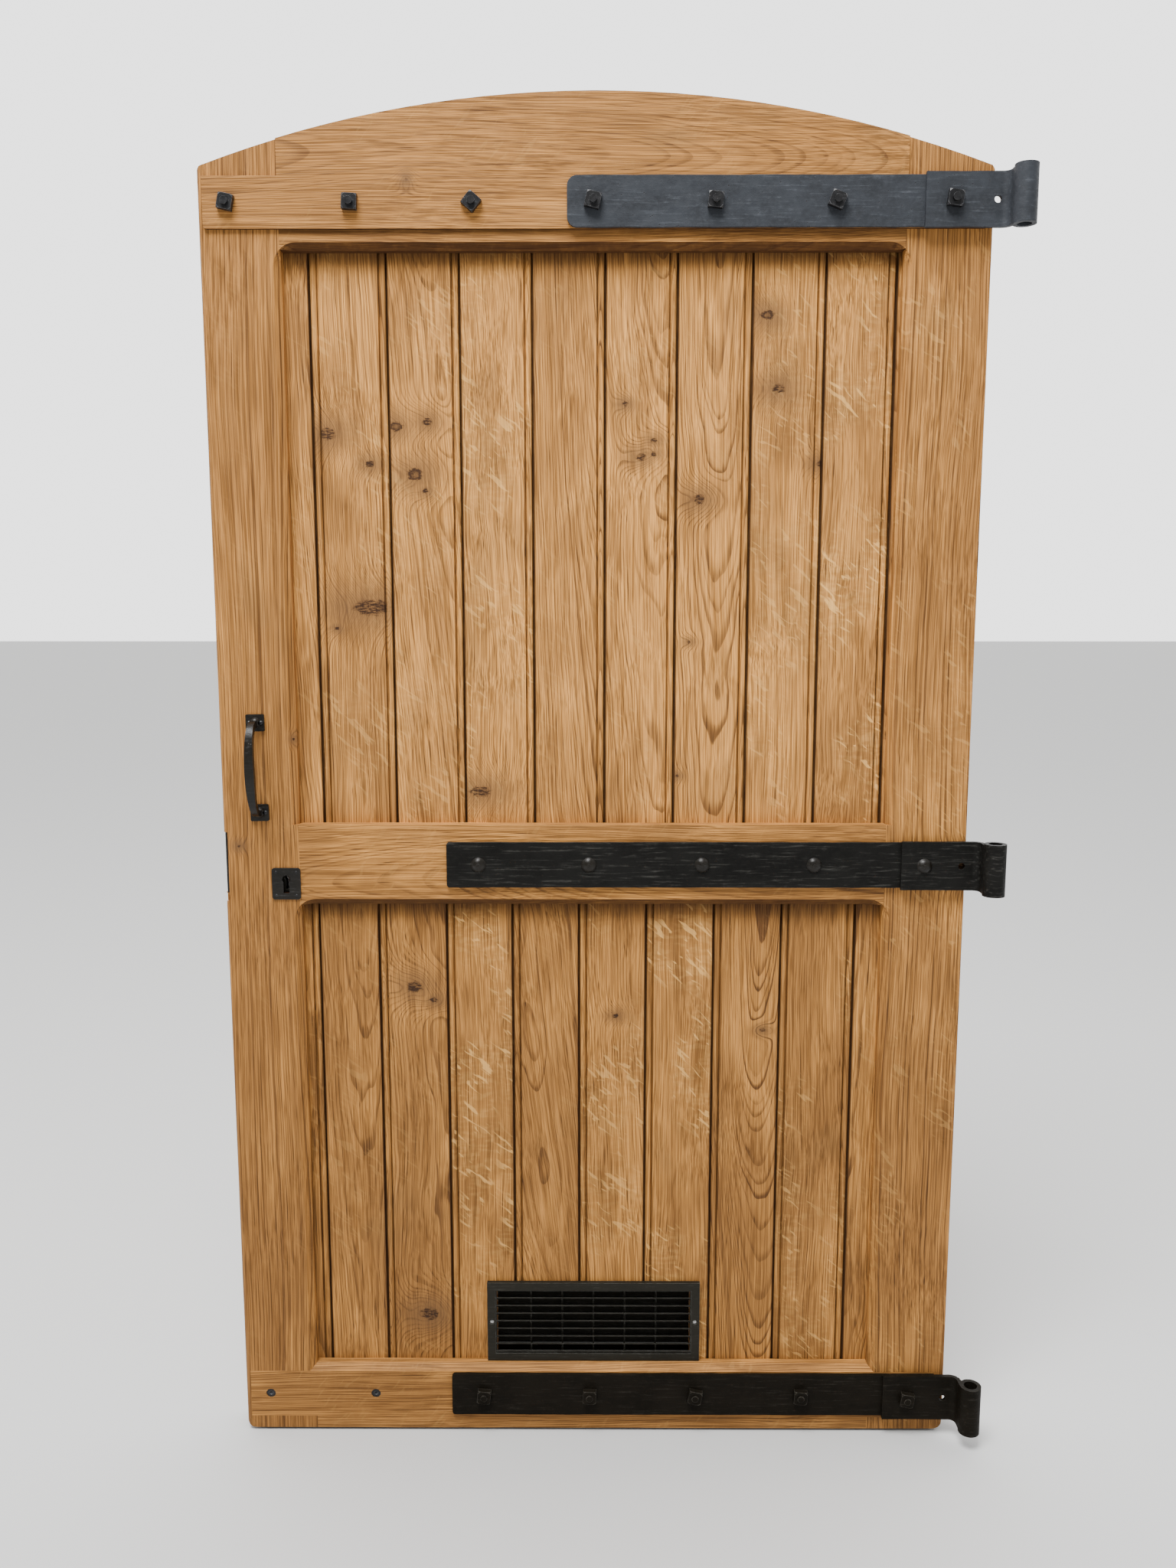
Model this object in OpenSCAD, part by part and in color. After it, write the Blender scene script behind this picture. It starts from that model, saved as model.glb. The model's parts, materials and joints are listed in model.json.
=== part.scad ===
// Arched ledged oak door leaf on three strap hinges, with boarded panels,
// a pull handle, a mortice deadlock and a louvred vent at its foot.
// Millimetres. X runs to the hinge side, Y into the leaf, Z up.
// The origin is the middle of the bottom hinge eye.

/* [Leaf] */
// Width of the leaf
leaf_w = 1060; // [1050:1:1090]
// Height of the straight sides
side_h = 1820; // [1816:1:1850]
// Rise of the arched head above the sides
arch_rise = 93; // [90:1:110]
// Thickness of stiles and rails
leaf_t = 48; // [48:1:56]
// Rounding along the front outer edge of the lock stile
lock_arris = 8; // [4:0.5:8]
// Rounding along the front outer edge of the hinge stile
hinge_arris = 3; // [2:0.5:5]
// Rounding of the two bottom corners
foot_corner = 14; // [6:1:16]

/* [Frame] */
// Width of the lock stile
lock_stile_w = 108; // [106:1:112]
// Width of the hinge stile
hinge_stile_w = 115; // [112:1:120]
// Height of the top rail's lower edge
top_rail_z = 1716; // [1700:1:1716]
// Height of the middle rail's lower edge
mid_rail_z = 818; // [818:1:822]
// Height of the middle rail
mid_rail_h = 117; // [112:1:125]
// Height of the bottom rail
foot_rail_h = 102; // [102:1:110]
// Width and depth of the chamfers round the panels
chamfer = 9; // [6:0.5:9]
// Radius of the stopped ends of the chamfers
chamfer_stop_r = 22; // [20:1:28]
// How far the top rail stands proud of the stiles
band_proud = 4; // [2:0.5:5]
// Depth of the laps where rails cross the stiles
lap_d = 24; // [20:1:25]

/* [Boards] */
// Thickness of the panel boards
board_t = 19; // [18:0.5:20]
// Depth of the boards behind the front of the frame
board_setback = 20; // [18:0.5:20]
// Depth of the groove that holds the boards
groove_d = 10; // [8:1:12]
// Width of the bead along each joint
bead_w = 9; // [6:0.5:10]
// Width of the small groove beside each bead
quirk_w = 2; // [1:0.5:3]
// Width of the open joint between boards
joint_w = 2.4; // [1.5:0.1:3]

/* [Hinges] */
// Height of the hinge straps
strap_h = 66; // [60:1:66]
// Thickness of straps and eye plates
strap_t = 6; // [5:0.5:6]
// Height of the eye plates
plate_h = 70; // [68:1:72]
// Height of the rolled eyes
eye_h = 74; // [72:1:80]
// Radius of the hole through each eye
eye_bore_r = 9.5; // [8:0.5:10]
// Outer radius of each eye
eye_r = 15.5; // [15:0.5:17]
// Distance of the hinge axis beyond the edge of the leaf
axis_out = 30; // [30:1:34]
// Distance of the hinge axis in front of the frame
axis_fwd = 36; // [36:1:40]
// Radius of the hinge bolts
bolt_r = 5; // [4:0.5:5]
// Width of the square nuts
nut_w = 20; // [18:0.5:22]

/* [Lock] */
// Distance of the keyhole from the lock edge
backset = 88.5; // [86:0.5:89]
// Travel of the deadbolt
throw = 14; // [8:1:14]

/* [Vent] */
// Width of the vent
vent_w = 322; // [300:2:340]
// Height of the vent
vent_h = 127; // [120:1:130]
// Number of louvres
louvres = 8; // [6:1:9]

/* [Hidden] */
$fn = 64;

OAK = [0.74, 0.55, 0.34];
OAK_LIGHT = [0.80, 0.62, 0.40];
IRON = [0.24, 0.25, 0.27];
IRON_DARK = [0.14, 0.13, 0.12];
STEEL = [0.62, 0.63, 0.65];
VENT_PAINT = [0.20, 0.19, 0.15];

// A cut runs this far past the surface it opens
over = 1;

// Arch of the head
arch_top = side_h + arch_rise;
arch_r = (pow(leaf_w / 2, 2) + pow(arch_rise, 2)) / (2 * arch_rise);
arch_z = arch_top - arch_r;

// The two panel openings
left_x = lock_stile_w;
right_x = leaf_w - hinge_stile_w;
opening_w = right_x - left_x;
mid_rail_top = mid_rail_z + mid_rail_h;
board_back = board_setback + board_t;

// Height of the eased corners where the sides meet the arch
head_corner = 4;

// Laps of the top and bottom rails across the stiles
lap_margin = 8;
lap_corner = 5;
band_z = 1741;
band_h = 67;
foot_lap_z = 19;
foot_lap_h = foot_rail_h - chamfer - foot_lap_z;
band_front = -band_proud;

// Tenons of the middle rail
tenon_y = 26;
tenon_t = 14;
tenon_l = 60;
tenon_play = 0.5;
tenon_inset = 10;

// Board joints, measured from the lock edge
upper_joints = [141.5, 247, 346, 445, 544.5, 643, 745, 844, 939.5];
lower_joints = [130, 216, 315, 410.5, 507.5, 605, 703.5, 801.5, 909];
tongue_l = 6;
tongue_t = 5.6;
tongue_play = 0.4;
bead_steps = 10;

// Hinge levels, straps and bolt rows
top_z = band_z + band_h / 2 - 0.5;
middle_z = 878;
bottom_z = 58.5;
top_strap_x = 493;
middle_strap_x = 319;
bottom_strap_x = 315;
strap_end_x = 1045;
plate_x = 966;
plate_flat_x = leaf_w + 5.5;
spare_hole_r = 4.8;
bend_steps = 14;
eye_sink = 0.4;
top_bolt_x = [40, 204.5, 366, 527.5, 689.5, 850, 1003.5];
middle_bolt_x = [364.5, 522, 683.5, 843, 998.5];
bottom_bolt_x = [for (i = [0:4]) 363.6 + 159.5 * i];
top_spare_x = leaf_w + 0.5;
middle_spare_x = leaf_w - 9;
bottom_spare_x = leaf_w - 4;
top_strap_corner = 14;
low_strap_corner = 4.5;
top_nut_turns = [12, 3, 40, 14, 5, 22, 8];
bottom_nut_turns = [6, 2, 12, 4, 9];
middle_nut_turns = [10, 25, 0, 40, 15];
bolt_play = 0.25;
thread_play = 0.05;
nut_t = 9;
nut_flare = 1.32;
nut_chamfer = 2.5;
bolt_tip = 4;
head_r = 11.5;
head_h = 4;
rose_r = 11;
rose_h = 6;
rose_boss_r = 2.6;
rose_boss_h = 0.8;
foot_screw_x = [38, 198];
foot_screw_z = 56;
foot_screw_r = 7.2;
foot_screw_sink = 1.5;
foot_screw_head_t = 4;
foot_screw_shank_r = 3;
foot_screw_l = 36;
foot_drive_r = 2.6;
hinge_x = leaf_w + axis_out;

// Pull handle
handle_x = 53.5;
handle_top_z = 1081;
handle_low_z = 953;
handle_mid_z = (handle_top_z + handle_low_z) / 2;
handle_half = (handle_top_z - handle_low_z) / 2;
handle_tilt = 0.9;
foot_plate_w = 26;
foot_plate_h = 24;
foot_plate_corner = 2;
foot_plate_t = 4;
grip_reach = 48;
grip_t = 8;
grip_w = 13;
grip_neck_w = 8;
grip_steps = 24;
boss_r = 8;
boss_h = 6;
handle_screw_x = [-8.5, 8.5];
handle_screw_r = 1.8;
handle_screw_head_r = 3.2;
handle_screw_l = 26;

// Lock: its case stands upright in the lock stile behind a forend
forend_z = 836;
forend_h = 88;
forend_x = 3.2;
forend_t = 3;
forend_y = 1;
forend_w = 29;
nick_r = 6.8;
nick_deep = 12;
case_x = forend_x + forend_t;
case_l = 104;
case_y = 8;
case_t = 16;
case_z = forend_z + 1;
case_h = forend_h - 2;
case_wall = 1.8;
cap_t = 1.6;
mortice_play = 0.5;
screw_block = 9;
forend_screw_inset = 5.5;
forend_screw_r = 2;
forend_screw_head_r = 3.6;
forend_screw_sink = 1.6;
forend_screw_l = 12;
screw_slot_w = 1;
screw_slot_d = 0.8;
bolt_head_l = 32.8;
deadbolt_z = 874;
deadbolt_h = 24;
deadbolt_y = 10.6;
deadbolt_t = 10;
tail_t = 2.8;
tail_z = 868;
tail_end_x = 100;
bolt_gap = 0.35;
talon_r = 8;
pivot_x = 46;
pivot_z = 890;
pivot_r = 3;
pivot_play = 0.05;
stump_x = 78;
stump_z = 886;
stump_r = 2.5;
lever_t = 2;
lever_pitch = 2.3;
lever_count = 3;
lever_y = deadbolt_y + tail_t + 0.6;
pocket_low = 880;
pocket_h = 10;
nib_w = 3;
nib_h = 2.8;

// Keyhole: a round head over a straight slot
key_z = 855.8;
key_head_r = 6;
key_slot_w = 8.4;
key_slot_h = 20.3;
case_key_head_r = 4.5;
case_key_slot_w = 5;
case_key_slot_h = 15.8;
wood_key_head_r = 9;
wood_key_slot_w = 13;
wood_key_slot_h = 21.5;
plate_w = 41;
plate_high = 46;
plate_thick = 2;
plate_corner = 4;
pin_inset = 6;
pin_r = 1.1;
pin_head_r = 1.9;
pin_l = 12;
escutcheon_z = 849.5;

// Vent
vent_x = 368;
vent_border = 14;
vent_t = 7;
vent_rim = 1.6;
louvre_t = 1.4;
louvre_blank = 26;
louvre_in = 6;
louvre_play = 0.4;
louvre_tilt = 35;
louvre_root = 0.5;
vent_ribs = 5;
rib_pitch = 47.4;
rib_w = 2;
rib_d = 1.6;
vent_screw_r = 1.7;
vent_screw_head_r = 3.4;
vent_screw_head_h = 1.2;
vent_screw_sink = 1.4;
vent_screw_l = 20;
duct_x = vent_x + vent_border;
duct_w = vent_w - 2 * vent_border;
duct_top = foot_rail_h + vent_h - vent_border;

// ---------------------------------------------------------------- helpers

// Moves the leaf from its own corner to the row's origin
module placed() {
    translate([-hinge_x, axis_fwd, -bottom_z]) children();
}

// A cylinder along +Y from the given point
module rod_y(x, y, z, r, len) {
    translate([x, y, z]) rotate([-90, 0, 0]) cylinder(r = r, h = len);
}

// A cone along +Y from radius r_front to r_back
module cone_y(x, y, z, r_front, r_back, len) {
    translate([x, y, z]) rotate([-90, 0, 0]) cylinder(r1 = r_front, r2 = r_back, h = len);
}

// A shape drawn in X and Z, made solid from y0 to y0 + len
module slab_y(y0, len) {
    translate([0, y0 + len, 0]) rotate([90, 0, 0]) linear_extrude(len) children();
}

// A shape drawn in Y and Z, made solid from x0 to x0 + len
module bar_x(x0, len) {
    translate([x0, 0, 0]) rotate([90, 0, 90]) linear_extrude(len) children();
}

// The waste outside a quarter round of radius r, whose corner is the origin
// and whose wood lies towards +X and +Y of the drawing
module round_waste(r) {
    difference() {
        translate([-over, -over]) square(r + over);
        translate([r, r]) circle(r);
    }
}

// A rectangle in X and Z with round corners
module round_rect(w, h, r) {
    translate([r, 0]) square([w - 2 * r, h]);
    translate([0, r]) square([w, h - 2 * r]);
    for (x = [r, w - r]) {
        for (z = [r, h - r]) {
            translate([x, z]) circle(r);
        }
    }
}

// Everything that lies under the arched head
module under_arch() {
    translate([0, -over - band_proud, 0])
        rod_y(leaf_w / 2, 0, arch_z, arch_r, leaf_t + band_proud + 2 * over, $fn = 360);
}

// ----------------------------------------------------------- cuts in the frame

// Chamfer waste along an upright edge; side is -1 where wood lies towards -X
module side_chamfer(x, side, z0, z1) {
    translate([x, 0, z0])
        linear_extrude(z1 - z0)
            polygon([
                [side * (chamfer + over), -over],
                [-side * over, -over],
                [-side * over, chamfer + over]
            ]);
}

// Chamfer waste along a level edge; side is 1 where wood lies towards +Z
module level_chamfer(z, side, x0, x1) {
    translate([0, 0, z])
        bar_x(x0, x1 - x0)
            polygon([
                [-over, side * (chamfer + over)],
                [-over, -side * over],
                [chamfer + over, -side * over]
            ]);
}

// The round stopped end of the chamfers in an upper corner of an opening
module chamfer_stop(x, z) {
    cone_y(x, -over, z, chamfer_stop_r + chamfer + over, chamfer_stop_r, chamfer + over);
}

// Chamfers along the sides and the upper edge of an opening
module opening_chamfers(z_low, z_high) {
    stop_z = z_high - chamfer_stop_r;
    side_chamfer(left_x, -1, z_low, stop_z);
    side_chamfer(right_x, 1, z_low, stop_z);
    level_chamfer(z_high, 1, left_x + chamfer_stop_r, right_x - chamfer_stop_r);
    chamfer_stop(left_x + chamfer_stop_r, stop_z);
    chamfer_stop(right_x - chamfer_stop_r, stop_z);
}

// The groove round an opening that holds its boards
module board_groove(z_low, z_high) {
    translate([left_x - groove_d, board_setback, z_low - groove_d])
        cube([opening_w + 2 * groove_d, board_t, z_high - z_low + 2 * groove_d]);
}

// All chamfers and grooves round both panels
module panel_cuts() {
    opening_chamfers(mid_rail_top, top_rail_z);
    opening_chamfers(foot_rail_h - chamfer, mid_rail_z);
    board_groove(mid_rail_top, top_rail_z);
    board_groove(foot_rail_h, mid_rail_z);
}

// Outline of the laps of the top rail, in X and Z
module band_laps() {
    x0 = lap_margin;
    w = leaf_w - 2 * lap_margin;
    difference() {
        translate([x0, band_z]) square([w, band_h]);
        translate([x0, band_z]) round_waste(lap_corner);
        translate([x0 + w, band_z]) mirror([1, 0]) round_waste(lap_corner);
    }
}

// Outline of the laps of the bottom rail, in X and Z
module foot_laps() {
    translate([lap_margin, foot_lap_z]) square([leaf_w - 2 * lap_margin, foot_lap_h]);
}

// Housings in the stiles for the laps of both rails
module lap_housings() {
    slab_y(-over, lap_d + over) band_laps();
    slab_y(-over, lap_d + over) foot_laps();
}

// Waste of the eased corner where the lock edge meets the arch
module head_corner_waste() {
    cut_slope = 1.35;
    reach = 3 * head_corner;
    polygon([
        [-over, side_h - head_corner - over * cut_slope],
        [reach, side_h - head_corner + reach * cut_slope],
        [-over, side_h - head_corner + reach * cut_slope]
    ]);
}

// Rounding of the edges and corners of the leaf
module outer_rounding() {
    slab_y(-over, leaf_t + 2 * over) head_corner_waste();
    slab_y(-over, leaf_t + 2 * over) translate([leaf_w, 0]) mirror([1, 0]) head_corner_waste();
    translate([0, 0, -over]) linear_extrude(arch_top) round_waste(lock_arris);
    translate([leaf_w, 0, -over]) linear_extrude(arch_top) mirror([1, 0]) round_waste(hinge_arris);
    slab_y(-over, leaf_t + 2 * over) round_waste(foot_corner);
    slab_y(-over, leaf_t + 2 * over) translate([leaf_w, 0]) mirror([1, 0]) round_waste(foot_corner);
}

// Holes for the hinge bolts through the whole leaf
module bolt_holes() {
    hole_r = bolt_r + bolt_play;
    hole_l = leaf_t + 2 * over;
    for (x = top_bolt_x) rod_y(x, band_front - over, top_z, hole_r, hole_l + band_proud);
    for (x = middle_bolt_x) rod_y(x, -over, middle_z, hole_r, hole_l);
    for (x = bottom_bolt_x) rod_y(x, -over, bottom_z, hole_r, hole_l);
}

// Holes for the two screws near the foot of the lock stile
module foot_screw_holes() {
    for (x = foot_screw_x) {
        rod_y(x, -over, foot_screw_z, foot_screw_r, foot_screw_sink + foot_screw_head_t + over);
        rod_y(x, -over, foot_screw_z, foot_screw_shank_r, foot_screw_l + 4 + over);
    }
}

// Keyhole outline in X and Z
module keyhole(head_r, slot_w, slot_h) {
    translate([backset, key_z]) circle(head_r);
    translate([backset - slot_w / 2, key_z - slot_h]) square([slot_w, slot_h]);
}

// Waste for the lock: its mortice, the bed of the forend and the keyway
module lock_cuts() {
    play = mortice_play;
    translate([-over, case_y - play, case_z - play])
        cube([case_x + case_l + play + over, case_t + 2 * play, case_h + 2 * play]);
    translate([-over, -over, forend_z])
        cube([case_x + over, forend_y + forend_w + over, forend_h]);
    rod_y(0, -over, forend_z - nick_r, nick_r, nick_deep + over);
    slab_y(-over, leaf_t + 2 * over) keyhole(wood_key_head_r, wood_key_slot_w, wood_key_slot_h);
}

// Sets the handle, drawn upright at x = 0, in its slightly leaning place
module handle_place() {
    translate([handle_x, 0, handle_mid_z])
        rotate([0, -handle_tilt, 0])
            translate([0, 0, -handle_mid_z]) children();
}

// Places of the handle screws
module at_handle_screws() {
    handle_place()
        for (z = [handle_low_z, handle_top_z]) {
            for (dx = handle_screw_x) {
                translate([dx, 0, z]) children();
            }
        }
}

// Places of the escutcheon pins
module at_plate_pins() {
    reach_x = plate_w / 2 - pin_inset;
    reach_z = plate_high / 2 - pin_inset;
    for (dx = [-1, 1]) {
        for (dz = [-1, 1]) {
            translate([backset + dx * reach_x, 0, escutcheon_z + dz * reach_z]) children();
        }
    }
}

// Holes for small screws and pins in the lock stile
module stile_screw_holes() {
    at_handle_screws() rod_y(0, -over, 0, handle_screw_r, handle_screw_l);
    at_plate_pins() rod_y(0, -over, 0, pin_r, pin_l / 2 + over);
    at_plate_pins() rod_y(0, leaf_t - pin_l, 0, pin_r, pin_l + over);
}

// ------------------------------------------------------------------- frame

// Mortices and tenons of the middle rail
module middle_tenons(play) {
    translate([left_x - tenon_l - play, tenon_y, mid_rail_z + tenon_inset])
        cube([opening_w + 2 * (tenon_l + play), tenon_t, mid_rail_h - 2 * tenon_inset]);
}

module lock_stile() {
    color(OAK)
        difference() {
            intersection() {
                cube([lock_stile_w, leaf_t, arch_top]);
                under_arch();
            }
            outer_rounding();
            lap_housings();
            panel_cuts();
            middle_tenons(tenon_play);
            lock_cuts();
            bolt_holes();
            foot_screw_holes();
            stile_screw_holes();
        }
}

module hinge_stile() {
    color(OAK)
        difference() {
            intersection() {
                translate([right_x, 0, 0]) cube([hinge_stile_w, leaf_t, arch_top]);
                under_arch();
            }
            outer_rounding();
            lap_housings();
            panel_cuts();
            middle_tenons(tenon_play);
            bolt_holes();
        }
}

module top_rail() {
    color(OAK_LIGHT)
        difference() {
            intersection() {
                union() {
                    translate([left_x, band_front, band_z])
                        cube([opening_w, leaf_t + band_proud, arch_top - band_z]);
                    translate([left_x, 0, top_rail_z]) cube([opening_w, leaf_t, band_z - top_rail_z]);
                    slab_y(band_front, lap_d + band_proud) band_laps();
                }
                under_arch();
            }
            panel_cuts();
            bolt_holes();
        }
}

module middle_rail() {
    color(OAK_LIGHT)
        difference() {
            union() {
                translate([left_x, 0, mid_rail_z]) cube([opening_w, leaf_t, mid_rail_h]);
                middle_tenons(0);
            }
            panel_cuts();
            lock_cuts();
            bolt_holes();
            at_plate_pins() rod_y(0, -over, 0, pin_r, pin_l / 2 + over);
            at_plate_pins() rod_y(0, leaf_t - pin_l, 0, pin_r, pin_l + over);
        }
}

// The sliver of rail that is scribed over a stile's chamfer
module scribed_horns() {
    intersection() {
        union() {
            side_chamfer(left_x, -1, foot_rail_h - chamfer, foot_rail_h);
            side_chamfer(right_x, 1, foot_rail_h - chamfer, foot_rail_h);
        }
        translate([left_x - chamfer, 0, 0]) cube([opening_w + 2 * chamfer, chamfer, foot_rail_h]);
    }
}

module bottom_rail() {
    color(OAK_LIGHT)
        difference() {
            union() {
                translate([left_x, 0, 0]) cube([opening_w, leaf_t, foot_rail_h]);
                slab_y(0, lap_d) foot_laps();
                scribed_horns();
            }
            level_chamfer(foot_rail_h, -1, left_x - chamfer - over, right_x + chamfer + over);
            board_groove(foot_rail_h, mid_rail_z);
            bolt_holes();
            foot_screw_holes();
        }
}

// ------------------------------------------------------------------- boards

// Points over the half round of a bead that starts at x
function bead_arc(x) = [
    for (i = [0:bead_steps])
        let (turn = 180 * i / bead_steps, r = bead_w / 2)
            [x + r - r * cos(turn), r - r * sin(turn)]
];

// Cross-section of one board, with its front at y = 0
module board_section(x0, x1, bead_left, bead_right, tongue, groove) {
    quirk_d = bead_w / 2;
    mid = board_t / 2;
    front_left = bead_left
        ? concat(bead_arc(x0), [[x0 + bead_w + quirk_w, quirk_d], [x0 + bead_w + quirk_w, 0]])
        : [[x0, 0]];
    quirk_x = x1 - bead_w - quirk_w;
    front_right = bead_right
        ? concat([[quirk_x, 0], [quirk_x, quirk_d]], bead_arc(x1 - bead_w))
        : [[x1, 0]];
    half = tongue_t / 2;
    right_side = tongue
        ? [[x1, mid - half], [x1 + tongue_l, mid - half], [x1 + tongue_l, mid + half], [x1, mid + half]]
        : [];
    half_slot = tongue_t / 2 + tongue_play / 2;
    slot_d = tongue_l - joint_w + 1;
    left_side = groove
        ? [[x0, mid + half_slot], [x0 + slot_d, mid + half_slot],
           [x0 + slot_d, mid - half_slot], [x0, mid - half_slot]]
        : [];
    polygon(concat(front_left, front_right, right_side, [[x1, board_t], [x0, board_t]], left_side));
}

// One board of a panel; number counts from 1 at the lock side
module board(joints, number, z_low, z_high, bead_left, bead_right) {
    last = len(joints) + 1;
    x0 = number == 1 ? left_x - groove_d : joints[number - 2] + joint_w / 2;
    x1 = number == last ? right_x + groove_d : joints[number - 1] - joint_w / 2;
    translate([0, board_setback, z_low - groove_d])
        linear_extrude(z_high - z_low + 2 * groove_d)
            board_section(x0, x1, bead_left, bead_right, number != last, number != 1);
}

// The beads of this panel stand on the right edges, and at the first joint on its right side
module upper_board(number) {
    last = len(upper_joints) + 1;
    color(number % 2 == 0 ? OAK : OAK_LIGHT)
        board(upper_joints, number, mid_rail_top, top_rail_z, number == 2, number > 1 && number < last);
}

// The beads of this panel stand on the left edges, but not at its first and last joints
module lower_board(number) {
    last = len(lower_joints) + 1;
    color(number % 2 == 0 ? OAK : OAK_LIGHT)
        difference() {
            board(
                lower_joints, number, foot_rail_h, mid_rail_z,
                number > 2 && number < last,
                number == 1 || number == last - 1
            );
            translate([duct_x, 0, 0]) cube([duct_w, leaf_t, duct_top]);
            at_vent_screws() rod_y(0, board_setback - over, 0, vent_screw_r, board_t + 2 * over);
        }
}

// ------------------------------------------------------------------- hinges

// A flat strap whose back lies at y_back
module strap(x0, z, y_back, corner, bolts) {
    difference() {
        slab_y(y_back - strap_t, strap_t)
            difference() {
                translate([x0, z - strap_h / 2]) square([strap_end_x - x0, strap_h]);
                translate([x0, z - strap_h / 2]) round_waste(corner);
                translate([x0, z + strap_h / 2]) mirror([0, 1]) round_waste(corner);
            }
        for (x = bolts) rod_y(x, y_back - strap_t - over, z, bolt_r + bolt_play, strap_t + 2 * over);
    }
}

module top_strap() {
    color(IRON) strap(top_strap_x, top_z, band_front, top_strap_corner, top_bolt_x);
}

module middle_strap() {
    color(IRON_DARK) strap(middle_strap_x, middle_z, 0, low_strap_corner, middle_bolt_x);
}

module bottom_strap() {
    color(IRON_DARK) strap(bottom_strap_x, bottom_z, 0, low_strap_corner, bottom_bolt_x);
}

// Points of a quarter round of radius r about (x, y), from facing +Y to facing +X
function quarter(x, y, r) = [
    for (i = [0:bend_steps])
        let (turn = 90 - 90 * i / bend_steps)
            [x + r * cos(turn), y + r * sin(turn)]
];

// The same points in the other direction
function quarter_back(x, y, r) = let (q = quarter(x, y, r)) [for (i = [bend_steps:-1:0]) q[i]];

// Plan of the bar of an eye plate: flat, quarter bend and the rise to the eye
module bar_plan(y_back) {
    rise_x = hinge_x - eye_r + eye_sink;
    bend_r = rise_x + strap_t - plate_flat_x;
    bend_y = y_back - bend_r;
    polygon(concat(
        [[plate_x, y_back - strap_t], [plate_x, y_back]],
        quarter(plate_flat_x, bend_y, bend_r),
        [[rise_x + strap_t, -axis_fwd], [rise_x, -axis_fwd]],
        quarter_back(plate_flat_x, bend_y, bend_r - strap_t)
    ));
}

// An eye plate whose flat back lies at y_back
module eye_plate(z, y_back, bolt_x, spare_x) {
    seam_w = 0.9;
    difference() {
        union() {
            translate([0, 0, z - plate_h / 2]) linear_extrude(plate_h) bar_plan(y_back);
            translate([hinge_x, -axis_fwd, z - eye_h / 2]) cylinder(r = eye_r, h = eye_h);
        }
        translate([hinge_x, -axis_fwd, z - eye_h / 2 - over]) cylinder(r = eye_bore_r, h = eye_h + 2 * over);
        rod_y(bolt_x, y_back - strap_t - over, z, bolt_r + bolt_play, strap_t + 2 * over);
        rod_y(spare_x, y_back - strap_t - over, z, spare_hole_r, strap_t + 2 * over);
        // the seam where the end of the roll meets the bar
        translate([hinge_x, -axis_fwd, z - eye_h / 2 - over])
            rotate([0, 0, 118])
                translate([eye_bore_r + 3, -seam_w / 2, 0]) cube([eye_r, seam_w, eye_h + 2 * over]);
    }
}

module top_eye_plate() {
    color(IRON) eye_plate(top_z, band_front - strap_t, top_bolt_x[6], top_spare_x);
}

module middle_eye_plate() {
    color(IRON_DARK) eye_plate(middle_z, -strap_t, middle_bolt_x[4], middle_spare_x);
}

module bottom_eye_plate() {
    color(IRON_DARK) eye_plate(bottom_z, -strap_t, bottom_bolt_x[4], bottom_spare_x);
}

// A square nut that faces -Y, with its seat at y_seat
module square_nut(x, z, y_seat, turn) {
    corner_r = nut_w / sqrt(2);
    difference() {
        intersection() {
            translate([x, 0, z])
                rotate([0, turn, 0])
                    translate([-nut_w / 2, y_seat - nut_t, -nut_w / 2]) cube([nut_w, nut_t, nut_w]);
            cone_y(x, y_seat - nut_t, z, corner_r - nut_chamfer, corner_r + nut_t * nut_flare, nut_t);
        }
        rod_y(x, y_seat - nut_t - over, z, bolt_r + thread_play, nut_t + 2 * over);
    }
}

// A low domed head whose flat side lies at y = 0 and which rises towards +Y
module domed_head(r, h) {
    ball_r = (r * r + h * h) / (2 * h);
    intersection() {
        translate([0, h - ball_r, 0]) sphere(r = ball_r, $fn = 128);
        rod_y(0, 0, 0, r, h + over);
    }
}

// A bolt from its front tip to a domed head on the back of the leaf
module back_headed_bolt(x, z, y_tip) {
    rod_y(x, y_tip, z, bolt_r, leaf_t - y_tip + over);
    translate([x, leaf_t, z]) domed_head(head_r, head_h);
}

// Front seats of the nuts of the top and bottom rows
function top_seat(x) = band_front - strap_t * (x > plate_x ? 2 : (x > top_strap_x ? 1 : 0));
function low_seat(x) = x > plate_x ? -2 * strap_t : -strap_t;

module top_bolts() {
    color(IRON_DARK)
        for (x = top_bolt_x) back_headed_bolt(x, top_z, top_seat(x) - nut_t - bolt_tip);
}

module top_nuts() {
    color(IRON_DARK)
        for (i = [0:6]) {
            x = top_bolt_x[i];
            square_nut(x, top_z, top_seat(x), top_nut_turns[i]);
        }
}

module bottom_bolts() {
    color(IRON_DARK)
        for (x = bottom_bolt_x) back_headed_bolt(x, bottom_z, low_seat(x) - nut_t - bolt_tip / 2);
}

module bottom_nuts() {
    color(IRON_DARK)
        for (i = [0:4]) {
            x = bottom_bolt_x[i];
            square_nut(x, bottom_z, low_seat(x), bottom_nut_turns[i]);
        }
}

// Rose-headed bolts with their heads at the front and their nuts at the back
module middle_bolts() {
    color(IRON_DARK)
        for (x = middle_bolt_x) {
            y = low_seat(x);
            rod_y(x, y - over, middle_z, bolt_r, leaf_t + nut_t + bolt_tip - y + over);
            translate([x, y, middle_z]) mirror([0, 1, 0]) domed_head(rose_r, rose_h);
            rod_y(x, y - rose_h - rose_boss_h, middle_z, rose_boss_r, rose_h);
        }
}

module middle_nuts() {
    color(IRON_DARK)
        for (i = [0:4])
            translate([0, 2 * leaf_t, 0])
                mirror([0, 1, 0]) square_nut(middle_bolt_x[i], middle_z, leaf_t, middle_nut_turns[i]);
}

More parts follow.
